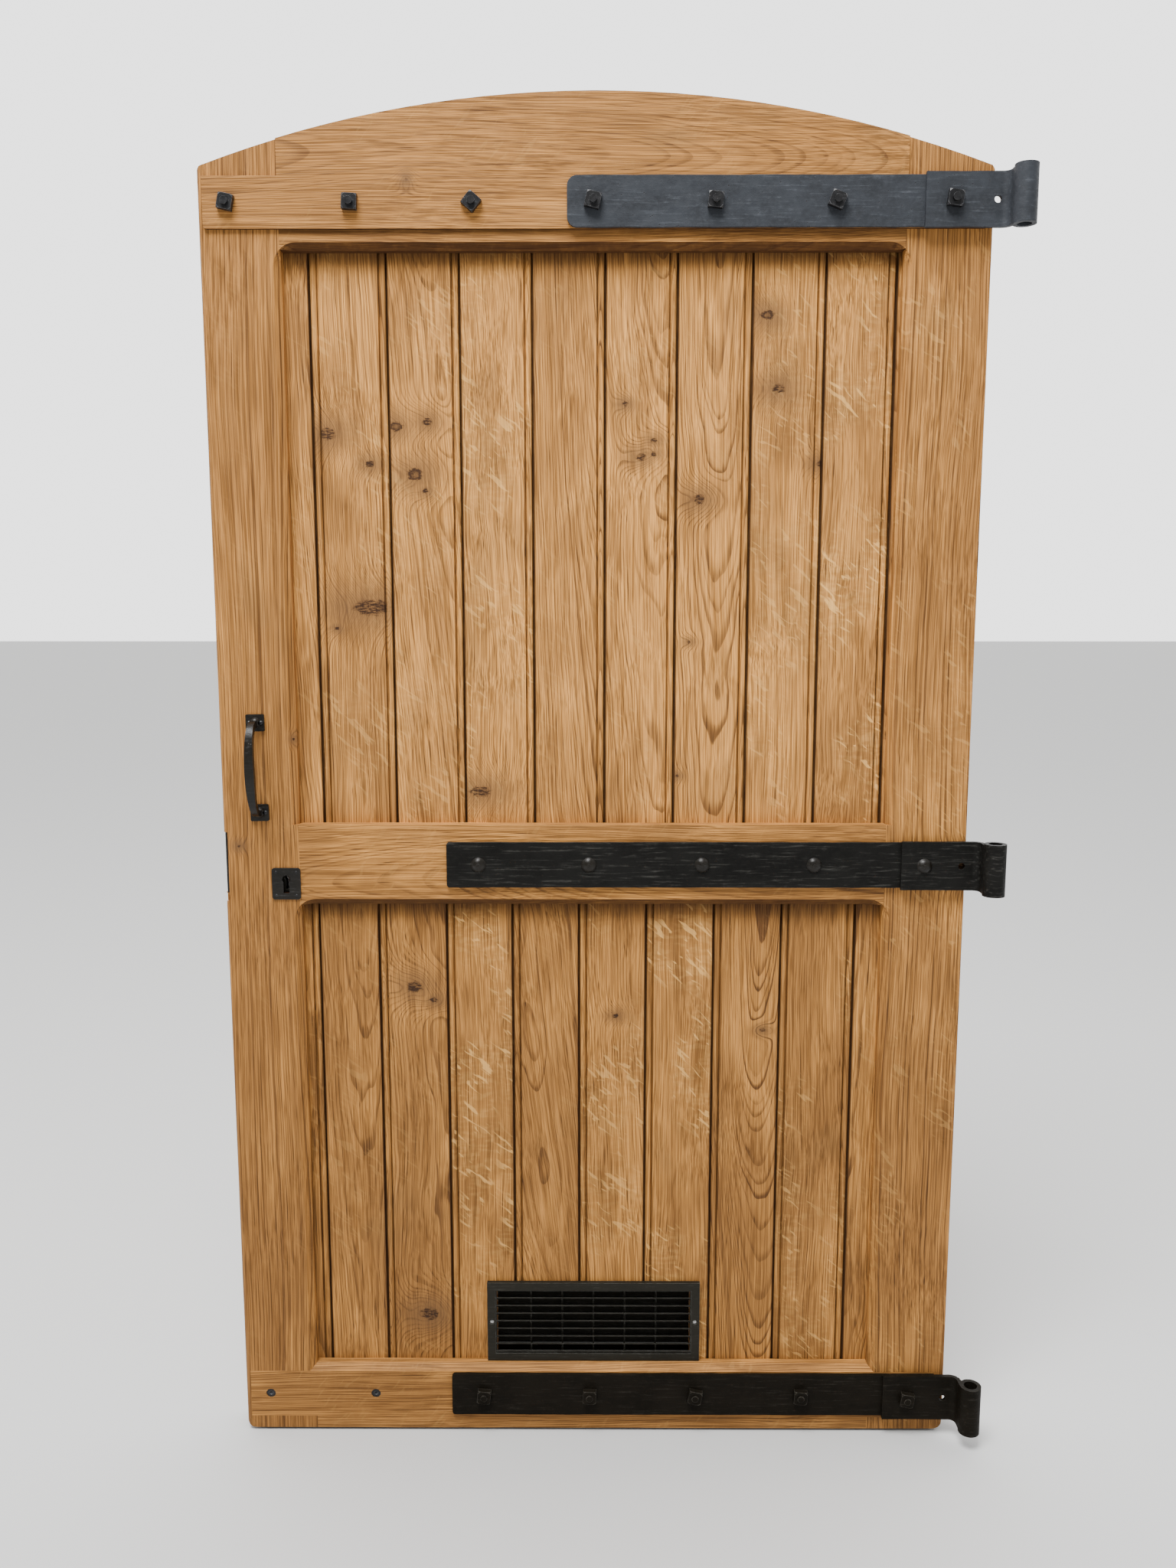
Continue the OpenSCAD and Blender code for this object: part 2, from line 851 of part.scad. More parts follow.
// Countersunk screws that hold the bottom rail to the stile
module foot_screws() {
    color(IRON_DARK)
        for (x = foot_screw_x) {
            difference() {
                rod_y(x, foot_screw_sink, foot_screw_z, foot_screw_r, foot_screw_head_t);
                rod_y(x, foot_screw_sink - over, foot_screw_z, foot_drive_r, foot_drive_r);
            }
            rod_y(x, foot_screw_sink + foot_screw_head_t / 2, foot_screw_z, foot_screw_shank_r, foot_screw_l);
        }
}

// ------------------------------------------------------------------- handle

// Points on one face of the bowed grip, seen from the side
function bow(reach, half) = [
    for (i = [0:grip_steps])
        let (t = 180 * i / grip_steps)
            [-reach * pow(sin(t), 0.55), handle_mid_z - half * cos(t)]
];

// Half-width outline of the grip, seen from the front
function grip_edge(side) = [
    for (i = [0:grip_steps])
        let (t = side > 0 ? i / grip_steps : 1 - i / grip_steps, swell = pow(sin(180 * t), 1.4))
            [side * (grip_neck_w + (grip_w - grip_neck_w) * swell) / 2,
             handle_mid_z - handle_half - foot_plate_h / 2 + (2 * handle_half + foot_plate_h) * t]
];

// Foot plates and bosses of the handle
module handle_feet() {
    for (z = [handle_low_z, handle_top_z]) {
        slab_y(-foot_plate_t, foot_plate_t)
            translate([-foot_plate_w / 2, z - foot_plate_h / 2])
                round_rect(foot_plate_w, foot_plate_h, foot_plate_corner);
        translate([0, -foot_plate_t, z]) mirror([0, 1, 0]) domed_head(boss_r, boss_h);
    }
}

// The bowed grip: its side view and its front view, crossed
module handle_grip() {
    inner_half = handle_half - grip_t / 2;
    outer_half = handle_half + grip_t / 2;
    intersection() {
        bar_x(-grip_w, 2 * grip_w)
            difference() {
                polygon(bow(grip_reach, outer_half));
                polygon(concat(
                    [[over, handle_mid_z - inner_half]],
                    bow(grip_reach - grip_t, inner_half),
                    [[over, handle_mid_z + inner_half]]
                ));
            }
        slab_y(-grip_reach - over, grip_reach + over) polygon(concat(grip_edge(1), grip_edge(-1)));
    }
}

module pull_handle() {
    color(IRON_DARK)
        difference() {
            handle_place() {
                handle_feet();
                handle_grip();
            }
            at_handle_screws() {
                rod_y(0, -foot_plate_t - over, 0, handle_screw_r + 0.2, foot_plate_t + 2 * over);
                rod_y(0, -foot_plate_t - boss_h, 0, handle_screw_head_r + 0.2, boss_h);
            }
        }
}

module handle_screws() {
    color(IRON_DARK)
        at_handle_screws() {
            rod_y(0, -foot_plate_t - over, 0, handle_screw_r, handle_screw_l);
            translate([0, -foot_plate_t, 0]) mirror([0, 1, 0]) domed_head(handle_screw_head_r, 1.8);
        }
}

// --------------------------------------------------------------------- lock

// An escutcheon plate from y0 to y0 + plate_thick
module key_plate(y0) {
    difference() {
        slab_y(y0, plate_thick)
            difference() {
                translate([backset - plate_w / 2, escutcheon_z - plate_high / 2])
                    round_rect(plate_w, plate_high, plate_corner);
                keyhole(key_head_r, key_slot_w, key_slot_h);
            }
        at_plate_pins() rod_y(0, y0 - over, 0, pin_r + thread_play, plate_thick + 2 * over);
    }
}

module front_escutcheon() {
    color(IRON_DARK) key_plate(-plate_thick);
}

module rear_escutcheon() {
    color(IRON_DARK) key_plate(leaf_t);
}

module escutcheon_pins() {
    color(IRON)
        at_plate_pins() {
            rod_y(0, -plate_thick - 0.4, 0, pin_r, pin_l / 2 + plate_thick);
            translate([0, -plate_thick, 0]) mirror([0, 1, 0]) domed_head(pin_head_r, 0.9);
            rod_y(0, leaf_t - pin_l + over, 0, pin_r, pin_l + plate_thick - over + 0.4);
            translate([0, leaf_t + plate_thick, 0]) domed_head(pin_head_r, 0.9);
        }
}

// The window that the deadbolt slides through, in forend and case
module bolt_window(x0, len) {
    translate([x0, deadbolt_y - bolt_gap, deadbolt_z - bolt_gap])
        cube([len, deadbolt_t + 2 * bolt_gap, deadbolt_h + 2 * bolt_gap]);
}

// Places of the forend screws, at the middle of the forend
module at_forend_screws() {
    for (z = [forend_z + forend_screw_inset, forend_z + forend_h - forend_screw_inset]) {
        translate([0, forend_y + forend_w / 2, z]) rotate([0, 90, 0]) children();
    }
}

module forend() {
    color(IRON_DARK)
        difference() {
            translate([forend_x, forend_y, forend_z]) cube([forend_t, forend_w, forend_h]);
            bolt_window(forend_x - over, forend_t + 2 * over);
            at_forend_screws()
                translate([0, 0, forend_x - over]) {
                    cylinder(r = forend_screw_r + thread_play, h = forend_t + 2 * over);
                    cylinder(r = forend_screw_head_r, h = forend_screw_sink + over);
                }
        }
}

module forend_screws() {
    color(STEEL)
        at_forend_screws() {
            translate([0, 0, forend_x + forend_screw_sink]) cylinder(r = forend_screw_r, h = forend_screw_l);
            difference() {
                translate([0, 0, forend_x + 0.1])
                    cylinder(r = forend_screw_head_r - 0.1, h = forend_screw_sink - 0.1);
                translate([-screw_slot_w / 2, -forend_screw_head_r, forend_x - over])
                    cube([screw_slot_w, 2 * forend_screw_head_r, over + screw_slot_d]);
            }
        }
}

// An open box that the cap closes from behind
module lock_case() {
    inner_t = case_t - cap_t;
    color(IRON)
        difference() {
            translate([case_x, case_y, case_z]) cube([case_l, inner_t, case_h]);
            difference() {
                translate([case_x + case_wall, case_y + case_wall, case_z + case_wall])
                    cube([case_l - 2 * case_wall, inner_t, case_h - 2 * case_wall]);
                for (z = [case_z, case_z + case_h - screw_block]) {
                    translate([case_x, case_y, z]) cube([screw_block + 4, inner_t, screw_block]);
                }
            }
            bolt_window(case_x - over, case_wall + 2 * over);
            slab_y(case_y - over, case_wall + 2 * over)
                keyhole(case_key_head_r, case_key_slot_w, case_key_slot_h);
            rod_y(pivot_x, case_y - over, pivot_z, pivot_r + thread_play, case_wall + 2 * over);
            at_forend_screws()
                translate([0, 0, case_x - over])
                    cylinder(r = forend_screw_r + thread_play, h = forend_screw_l);
        }
}

module lock_cap() {
    color(IRON)
        difference() {
            translate([case_x, case_y + case_t - cap_t, case_z]) cube([case_l, cap_t, case_h]);
            slab_y(case_y + case_t - cap_t - over, cap_t + 2 * over)
                keyhole(case_key_head_r, case_key_slot_w, case_key_slot_h);
        }
}

// The bolt: a thick head on a thin tail, with the stump that the levers gate
module deadbolt() {
    head_end = forend_x + bolt_head_l;
    color(STEEL)
        difference() {
            union() {
                translate([forend_x, deadbolt_y, deadbolt_z]) cube([bolt_head_l, deadbolt_t, deadbolt_h]);
                translate([head_end - over, deadbolt_y, tail_z])
                    cube([tail_end_x - head_end + over, tail_t, deadbolt_z + deadbolt_h - tail_z]);
                rod_y(stump_x, deadbolt_y, stump_z, stump_r, deadbolt_t);
            }
            // slot that rides on the lever pivot
            slab_y(deadbolt_y - over, tail_t + 2 * over)
                translate([pivot_x - pivot_r - bolt_gap, pivot_z - pivot_r - bolt_gap])
                    round_rect(throw + 2 * (pivot_r + bolt_gap), 2 * (pivot_r + bolt_gap), pivot_r);
            // notch that the key turns in
            rod_y(backset, deadbolt_y - over, tail_z - talon_r / 2, talon_r, tail_t + 2 * over);
        }
}

// Outline of a lever in X and Z, with its pockets and the gate between them
module lever_outline() {
    difference() {
        polygon([
            [39, 884], [39, 897], [104, 900], [104, 868],
            [98, 866], [80, 866], [74, 874], [52, 881]
        ]);
        translate([pivot_x, pivot_z]) circle(pivot_r + pivot_play);
        difference() {
            translate([stump_x - throw - 4, pocket_low]) square([throw + 8, pocket_h]);
            translate([stump_x - throw / 2 - nib_w / 2, pocket_low]) square([nib_w, nib_h]);
        }
    }
}

module lock_levers() {
    color([0.72, 0.58, 0.28])
        for (i = [0:lever_count - 1]) {
            slab_y(lever_y + i * lever_pitch, lever_t) lever_outline();
        }
}

module lever_pivot() {
    color(STEEL)
        rod_y(pivot_x, case_y, pivot_z, pivot_r, case_t - cap_t);
}

// --------------------------------------------------------------------- vent

// Places of the vent screws, halfway up its side borders
module at_vent_screws() {
    for (x = [vent_x + vent_border / 2, vent_x + vent_w - vent_border / 2]) {
        translate([x, 0, foot_rail_h + vent_h / 2]) children();
    }
}

// One louvred grille whose flat back lies at y = 0 and whose front faces -Y
module grille() {
    light_h = vent_h - 2 * vent_border;
    pitch = light_h / louvres;
    difference() {
        translate([0, -vent_t, 0]) cube([vent_w, vent_t, vent_h]);
        translate([vent_border, -vent_t - over, vent_border])
            cube([duct_w, vent_t + 2 * over, light_h]);
        for (x = [vent_border / 2, vent_w - vent_border / 2]) {
            rod_y(x, -vent_t - over, vent_h / 2, vent_screw_r + 0.2, vent_t + 2 * over);
            rod_y(x, -vent_t - over, vent_h / 2, vent_screw_head_r + 0.2, vent_screw_sink + over);
        }
        // shallow step round the light
        translate([vent_border - vent_rim, -vent_t - over, vent_border - vent_rim])
            cube([duct_w + 2 * vent_rim, vent_rim + over, light_h + 2 * vent_rim]);
    }
    intersection() {
        union() {
            translate([vent_border - louvre_root, -vent_t, vent_border - louvre_root])
                cube([duct_w + 2 * louvre_root, vent_t, light_h + 2 * louvre_root]);
            translate([vent_border + louvre_play, -louvre_root, vent_border + louvre_play])
                cube([duct_w - 2 * louvre_play, louvre_in + louvre_root, light_h - 2 * louvre_play]);
        }
        for (i = [0:louvres - 1]) {
            translate([0, -vent_t / 2, vent_border + pitch * i])
                rotate([-louvre_tilt, 0, 0])
                    translate([0, -louvre_blank / 2, -louvre_t / 2]) cube([vent_w, louvre_blank, louvre_t]);
        }
    }
    first_rib_x = (vent_w - rib_w - rib_pitch * (vent_ribs - 1)) / 2;
    for (i = [0:vent_ribs - 1]) {
        translate([first_rib_x + rib_pitch * i, -rib_d, vent_border - louvre_root])
            cube([rib_w, rib_d, light_h + 2 * louvre_root]);
    }
}

module vent_grille() {
    color(VENT_PAINT) translate([vent_x, board_setback, foot_rail_h]) grille();
}

module rear_vent_grille() {
    color(VENT_PAINT)
        translate([vent_x, board_back, foot_rail_h]) mirror([0, 1, 0]) grille();
}

module vent_screws() {
    color(STEEL)
        at_vent_screws() {
            rod_y(0, board_setback - vent_t + 0.8, 0, vent_screw_r, vent_screw_l - 4);
            translate([0, board_setback - vent_t + vent_screw_sink, 0])
                mirror([0, 1, 0]) domed_head(vent_screw_head_r, vent_screw_head_h);
            rod_y(0, board_back - 3, 0, vent_screw_r, vent_t + 2);
            translate([0, board_back + vent_t - vent_screw_sink, 0])
                domed_head(vent_screw_head_r, vent_screw_head_h);
        }
}

// -------------------------------------------------------------------- output

placed() lock_stile();
placed() hinge_stile();
placed() top_rail();
placed() middle_rail();
placed() bottom_rail();
for (i = [1:10]) {
    placed() upper_board(i);
    placed() lower_board(i);
}
placed() top_strap();
placed() middle_strap();
placed() bottom_strap();
placed() top_eye_plate();
placed() middle_eye_plate();
placed() bottom_eye_plate();
placed() top_bolts();
placed() top_nuts();
placed() middle_bolts();
placed() middle_nuts();
placed() bottom_bolts();
placed() bottom_nuts();
placed() foot_screws();
placed() pull_handle();
placed() handle_screws();
placed() front_escutcheon();
placed() rear_escutcheon();
placed() escutcheon_pins();
placed() forend();
placed() forend_screws();
placed() lock_case();
placed() lock_cap();
placed() deadbolt();
placed() lock_levers();
placed() lever_pivot();
placed() vent_grille();
placed() rear_vent_grille();
placed() vent_screws();
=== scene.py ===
"""Arched oak door leaf: its finishes and its forged ironwork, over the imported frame.

Everything is in metres in the frame's own coordinates: X towards the hinge side,
Y into the leaf, Z up, with the origin in the bottom hinge eye.
"""

import json
import logging
import math
from dataclasses import dataclass, replace
from enum import Enum

import bmesh
import bpy
import numpy as np
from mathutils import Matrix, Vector


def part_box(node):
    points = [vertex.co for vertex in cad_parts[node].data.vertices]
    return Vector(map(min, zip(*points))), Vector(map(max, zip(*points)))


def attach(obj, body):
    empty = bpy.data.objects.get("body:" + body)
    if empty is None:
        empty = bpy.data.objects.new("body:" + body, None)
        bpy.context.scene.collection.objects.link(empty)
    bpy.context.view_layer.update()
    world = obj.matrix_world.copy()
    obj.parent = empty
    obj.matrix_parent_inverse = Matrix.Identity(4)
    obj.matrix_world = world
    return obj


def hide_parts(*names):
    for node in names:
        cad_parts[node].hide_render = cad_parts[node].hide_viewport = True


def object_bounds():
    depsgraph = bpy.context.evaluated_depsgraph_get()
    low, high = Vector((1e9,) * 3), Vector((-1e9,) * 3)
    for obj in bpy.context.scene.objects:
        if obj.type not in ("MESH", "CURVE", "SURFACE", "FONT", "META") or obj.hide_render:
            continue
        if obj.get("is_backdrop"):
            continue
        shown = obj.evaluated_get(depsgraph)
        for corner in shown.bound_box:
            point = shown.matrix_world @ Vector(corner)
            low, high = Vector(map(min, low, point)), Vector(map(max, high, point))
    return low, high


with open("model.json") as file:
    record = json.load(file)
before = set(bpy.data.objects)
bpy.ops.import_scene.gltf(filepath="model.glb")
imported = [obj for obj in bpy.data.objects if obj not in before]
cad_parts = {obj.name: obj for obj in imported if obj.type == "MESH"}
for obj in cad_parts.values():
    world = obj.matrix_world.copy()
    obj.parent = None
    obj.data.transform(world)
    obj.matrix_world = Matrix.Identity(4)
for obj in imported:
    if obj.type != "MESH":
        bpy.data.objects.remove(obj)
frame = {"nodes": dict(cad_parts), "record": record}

LOG = logging.getLogger("door_leaf")
LEAF = "leaf"
MM = 0.001
# the attribute that is 1 on eased edges
EDGE = "eased_edge"
# depth of the stiles' front and of the boards', and how far a board's tongue reaches into the next
FRAME_FACE = 36 * MM
BOARD_FACE = 56 * MM
TONGUE = 6 * MM
# edges sharper than the first angle are eased, edges under the second are shaded smooth, and
# faces that meet under the third are made one
SHARP_DEG = 28.0
SMOOTH_DEG = 40.0
FLAT_DEG = 1.0
# corners closer than this are merged
WELD = 0.002 * MM

Colour = tuple[float, float, float]
Socket = bpy.types.NodeSocket
Inputs = bpy.types.NodeOutputs
Points = np.ndarray


# --------------------------------------------------------------- small tools


def smooth_noise(where: Points, seed: int, pitch: float) -> Points:
    """Smooth random values along a line.

    The value is a cubic blend between random heights set every pitch metres.

    Args:
        where: distances in metres, any shape.
        seed: seed of the random heights.
        pitch: distance between two heights, in metres.

    Returns:
        Values from -1 to 1, in the shape of where.
    """
    count, first = 4096, 1000.0
    heights = np.random.default_rng(seed).uniform(-1, 1, count)
    place = where / pitch + first
    cell = np.floor(place).astype(int)
    part = place - cell
    blend = part * part * (3 - 2 * part)
    return heights[cell % count] * (1 - blend) + heights[(cell + 1) % count] * blend


def smooth_noise_2d(across: Points, along: Points, seed: int, pitch: float) -> Points:
    """Smooth random values over a plane.

    The value is a cubic blend between random heights on a square grid.

    Args:
        across, along: places in metres, of one shape.
        seed: seed of the random heights.
        pitch: distance between two heights, in metres.

    Returns:
        Values from -1 to 1, in the shape of across.
    """
    side, first = 256, 500.0
    heights = np.random.default_rng(seed).uniform(-1, 1, (side, side))
    a, b = across / pitch + first, along / pitch + first
    i, j = np.floor(a).astype(int), np.floor(b).astype(int)
    u, v = a - i, b - j
    u, v = u * u * (3 - 2 * u), v * v * (3 - 2 * v)
    i, j, ii, jj = i % side, j % side, (i + 1) % side, (j + 1) % side
    near = heights[i, j] * (1 - u) + heights[ii, j] * u
    far = heights[i, jj] * (1 - u) + heights[ii, jj] * u
    return near * (1 - v) + far * v


# ------------------------------------------------------------- node drawing


class Sheet:
    """Lays nodes into one node tree and joins them."""

    def __init__(self, tree: bpy.types.NodeTree) -> None:
        """Keeps the tree that the nodes go into."""
        self.tree = tree

    def put(self, socket: Socket, value: object) -> None:
        """Joins a socket to another one, or sets its value.

        Args:
            socket: the input to feed.
            value: an output socket, a number, or a tuple.
        """
        if isinstance(value, bpy.types.NodeSocket):
            self.tree.links.new(value, socket)
        elif isinstance(value, tuple) and socket.type == "RGBA" and len(value) == 3:
            socket.default_value = (*value, 1.0)
        else:
            socket.default_value = value

    def add(self, kind: str, inputs: dict | None = None, **settings: object) -> bpy.types.Node:
        """Adds one node.

        Args:
            kind: the node's type name, without its ShaderNode part.
            inputs: input name or number, and what feeds it.
            settings: the node's own properties.

        Returns:
            The new node.
        """
        node = self.tree.nodes.new("ShaderNode" + kind)
        for name, value in settings.items():
            setattr(node, name, value)
        for name, value in (inputs or {}).items():
            self.put(node.inputs[name], value)
        return node

    def sum(self, operation: str, a: object, b: object = 0.0, c: object = 0.0,
            clamp: bool = False) -> Socket:
        """One Math node.

        Args:
            operation: its operation, such as MULTIPLY.
            a, b, c: its inputs.
            clamp: whether to keep the result between 0 and 1.

        Returns:
            Its output.
        """
        return self.add("Math", {0: a, 1: b, 2: c}, operation=operation, use_clamp=clamp).outputs[0]

    def vector(self, operation: str, a: object, b: object = (0.0, 0.0, 0.0)) -> Socket:
        """One Vector Math node.

        Args:
            operation: its operation, such as ADD.
            a, b: its vectors.

        Returns:
            Its vector output, or its value output for LENGTH.
        """
        node = self.add("VectorMath", operation=operation)
        self.put(node.inputs[0], a)
        if operation != "LENGTH":
            self.put(node.inputs[1], b)
        return node.outputs["Value" if operation == "LENGTH" else "Vector"]

    def stretch(self, place: Socket, scale: tuple[float, float, float]) -> Socket:
        """A place multiplied by three scales."""
        return self.vector("MULTIPLY", place, scale)

    def noise(self, place: Socket, scale: tuple[float, float, float], detail: float = 2.0,
              rough: float = 0.5) -> Socket:
        """A noise texture with its own scale along each axis.

        Args:
            place: the coordinates.
            scale: waves in a metre along each axis.
            detail, rough: the noise's octaves and their weight.

        Returns:
            Its factor output.
        """
        node = self.add("TexNoise", {
            "Vector": self.stretch(place, scale), "Scale": 1.0, "Detail": detail, "Roughness": rough,
        })
        return node.outputs["Fac"]

    def span(self, value: object, low: float, high: float, to_low: float = 0.0,
             to_high: float = 1.0) -> Socket:
        """A smooth step from low to high, mapped to another range.

        Args:
            value: what is stepped.
            low, high: where the step begins and ends.
            to_low, to_high: the results there.

        Returns:
            The result.
        """
        node = self.add("MapRange", {
            "Value": value, "From Min": low, "From Max": high, "To Min": to_low, "To Max": to_high,
        }, interpolation_type="SMOOTHSTEP")
        return node.outputs["Result"]

    def mix(self, share: object, a: object, b: object, kind: str = "MIX") -> Socket:
        """A colour mix.

        Args:
            share: how much of b, from 0 to 1.
            a, b: the colours.
            kind: the blend type.

        Returns:
            The mixed colour.
        """
        node = self.add("Mix", data_type="RGBA", blend_type=kind, clamp_factor=True)
        self.put(node.inputs[0], share)
        self.put(node.inputs[6], a)
        self.put(node.inputs[7], b)
        return node.outputs[2]


class Grain(Enum):
    """Which way the fibres of a piece of oak run."""

    UPRIGHT = "upright"
    LEVEL = "level"


@dataclass(frozen=True)
class Knot:
    """One knot in a piece of oak, placed in metres from the piece's middle.

    across and along are its place, size is the radius of its dark core, and wide is how many
    times wider than high it is. One with an eye is whole, with a brown middle, and any other is
    cracked across.
    """

    across: float
    along: float
    size: float = 0.005
    wide: float = 1.3
    eye: bool = False


@dataclass(frozen=True)
class OakFigure:
    """How one piece of oak was sawn from the log, and its tone.

    pith_across and pith_deep place the heart of the log from the piece's middle, and pith_tilt
    leans it. ring is the width of a year's growth. wave bends the fibres, slant leans them and
    fleck shows the rays. face is the depth of the front that its darkened grooves lie below,
    shadow_line the height of the ledge below which a shadow is painted on it, and ledge that of a
    small one in the piece, below which shade is painted. edges are the places across of its two
    dirty edges. hole is the place across, the height and the radius of a hole inside which shade is
    painted dark. All of these are in metres.
    """

    grain: Grain = Grain.UPRIGHT
    seed: float = 0.0
    pith_across: float = 0.12
    pith_deep: float = 0.05
    pith_tilt: float = 0.0
    ring: float = 0.0034
    wave: float = 0.5
    slant: float = 0.0
    fleck: float = 0.15
    contrast: float = 1.0
    tone: float = 0.5
    warm: float = 0.5
    face: float = 1.0
    shadow_line: float = 0.0
    ledge: float = 0.0
    edges: tuple[float, ...] = ()
    hole: tuple[float, ...] = ()
    knots: tuple[Knot, ...] = ()


class OakFinish:
    """Planed and oiled oak, as a solid pattern cut by every face of a piece."""

    GROUP = "oak_solid"
    PALE = (0.690, 0.322, 0.080)
    BODY = (0.385, 0.178, 0.048)
    WARM = (0.320, 0.130, 0.027)
    RING = (0.150, 0.065, 0.020)
    PORE = (0.082, 0.036, 0.013)
    FLECK = (0.880, 0.500, 0.155)
    CLOUD = (0.240, 0.125, 0.042)
    KNOT = (0.040, 0.019, 0.010)
    HALO = (0.150, 0.078, 0.034)
    DIRT_AND_SHADE = (0.040, 0.016, 0.006)
    FOOT_SHADE = (0.79, 0.78, 0.76)
    # how dark it is in grooves and in the quirks beside the beads, how dark the painted shade is on
    # what faces down, how dark a joint is, and how dark the painted shade is under a panel's ledge,
    # under a small ledge and inside a hole
    GROOVE_SHADE = 0.92
    QUIRK_SHARE = 0.66
    SOFFIT_SHADE = 0.93
    JOINT_SHADE = 0.86
    SHADOW_DARKNESS = 0.80
    LEDGE_SHADE = 0.66
    HOLE_SHADE = 0.97
    # how far below the front the darkening in grooves begins, is full, fades and ends
    GROOVE_BEGINS = 1.2 * MM
    GROOVE_FULL = 5.5 * MM
    GROOVE_FADES = 11 * MM
    GROOVE_ENDS = 15 * MM
    # how far from a board's edge the darkening in its quirk is full and ends
    QUIRK_FULL = 3 * MM
    QUIRK_ENDS = 5 * MM
    # how far the others reach
    JOINT_REACH = 2.3 * MM
    SHADOW_REACH = 55 * MM
    LEDGE_REACH = 15 * MM

    def __init__(self) -> None:
        """Builds the shared node group once."""
        self.group = self._solid_group()

    def _solid_group(self) -> bpy.types.NodeTree:
        """Builds the group that turns a place in the wood into colour, height and roughness.

        Growth rings are cylinders round a tilted pith, bent by slow noise. Each ring ends in a
        dark band of pores. Rays show as short light strokes where the piece was sawn along them.

        Returns:
            The node group.
        """
        tree = bpy.data.node_groups.new(self.GROUP, "ShaderNodeTree")
        face = tree.interface
        for name in ("Place", "Pith"):
            face.new_socket(name=name, in_out="INPUT", socket_type="NodeSocketVector")
        for name in ("Tilt", "Ring", "Seed", "Wave", "Slant", "Fleck", "Contrast", "Tone", "Warm",
                     "Knot Push", "Knot Core", "Knot Halo", "Dirt And Shade", "Foot"):
            face.new_socket(name=name, in_out="INPUT", socket_type="NodeSocketFloat")
        for name, kind in (("Colour", "Color"), ("Height", "Float"), ("Roughness", "Float")):
            face.new_socket(name=name, in_out="OUTPUT", socket_type="NodeSocket" + kind)
        s = Sheet(tree)
        given = tree.nodes.new("NodeGroupInput").outputs
        wild, straight, bent, fibres = self._places(s, given)
        band = self._ring_band(s, given, bent)
        rays, sheen = self._rays(s, given, wild, fibres)
        fibre = s.noise(fibres, (600.0, 600.0, 5.0), 2.0, 0.70)
        pores = s.span(s.noise(fibres, (800.0, 800.0, 9.0), 1.0, 0.6), 0.55, 0.68)
        pores = s.sum("MULTIPLY", pores, s.span(band, 0.0, 0.4, 0.35, 1.0))

        colour = self._body(s, given, wild, sheen)
        ringed = s.sum("MULTIPLY", band, s.sum("MULTIPLY", given["Contrast"], 0.86), clamp=True)
        colour = s.mix(ringed, colour, self.RING)
        colour = s.mix(1.0, colour, self._streak(s, fibres, fibre), "MULTIPLY")
        hair = s.noise(fibres, (1300.0, 1300.0, 26.0), 0.0, 0.5)
        colour = s.mix(s.sum("MULTIPLY", s.span(hair, 0.52, 0.74), 0.22), colour, self.PORE)
        colour = s.mix(s.sum("MULTIPLY", pores, 0.85), colour, self.PORE)
        colour = s.mix(s.sum("MULTIPLY", rays, 0.66), colour, self.FLECK)
        colour = s.mix(s.sum("MULTIPLY", given["Knot Halo"], 0.72), colour, self.HALO)
        colour = s.mix(given["Knot Core"], colour, self.KNOT)
        colour = s.mix(given["Foot"], colour, s.mix(1.0, colour, self.FOOT_SHADE, "MULTIPLY"))
        # dirt and painted shade darken the colour
        colour = s.mix(given["Dirt And Shade"], colour, self.DIRT_AND_SHADE)

        # the relief follows the lean of the fibres only, which keeps it quick to work out
        height = s.span(s.noise(straight, (520.0, 520.0, 9.0), 2.0, 0.65), 0.30, 0.66)
        rough = s.sum("MULTIPLY_ADD", pores, 0.20, s.span(fibre, 0.2, 0.8, 0.48, 0.62))
        rough = s.sum("MULTIPLY_ADD", rays, -0.16, rough)
        rough = s.sum("MULTIPLY_ADD", given["Dirt And Shade"], 0.25, rough, clamp=True)
        out = tree.nodes.new("NodeGroupOutput").inputs
        s.put(out["Colour"], colour)
        s.put(out["Height"], height)
        s.put(out["Roughness"], rough)
        return tree

    def _places(self, s: Sheet, given: Inputs) -> tuple[Socket, Socket, Socket, Socket]:
        """Bends the place in the wood as its fibres run.

        Args:
            s: the sheet to draw on.
            given: the group's inputs.

        Returns:
            The place moved to the seed's part of the log, the same with the fibres' lean, the
            bent place before that move, and the bent place after it.
        """
        place = given["Place"]
        offset = s.add("CombineXYZ", {
            0: s.sum("MULTIPLY", given["Seed"], 1.31),
            1: s.sum("MULTIPLY", given["Seed"], 0.73),
            2: s.sum("MULTIPLY", given["Seed"], 2.17),
        }).outputs[0]
        wild = s.vector("ADD", place, offset)
        slow = self._bend(s, wild, (5.0, 5.0, 1.5), 0.034)
        middling = self._bend(s, wild, (15.0, 15.0, 5.0), 0.015)
        quick = self._bend(s, wild, (46.0, 46.0, 14.0), 0.0040)
        local = s.vector("ADD", middling, quick)
        waves = s.add("CombineXYZ", {0: given["Wave"], 1: given["Wave"], 2: 0.0}).outputs[0]
        bent = s.vector("ADD", s.vector("ADD", place, slow), s.vector("MULTIPLY", local, waves))
        height_in = s.add("SeparateXYZ", {0: place}).outputs[2]
        aside = s.sum("MULTIPLY", height_in, given["Slant"])
        lean = s.add("CombineXYZ", {0: aside, 1: 0.0, 2: 0.0}).outputs[0]
        bent = s.vector("ADD", bent, lean)
        return wild, s.vector("ADD", wild, lean), bent, s.vector("ADD", bent, offset)

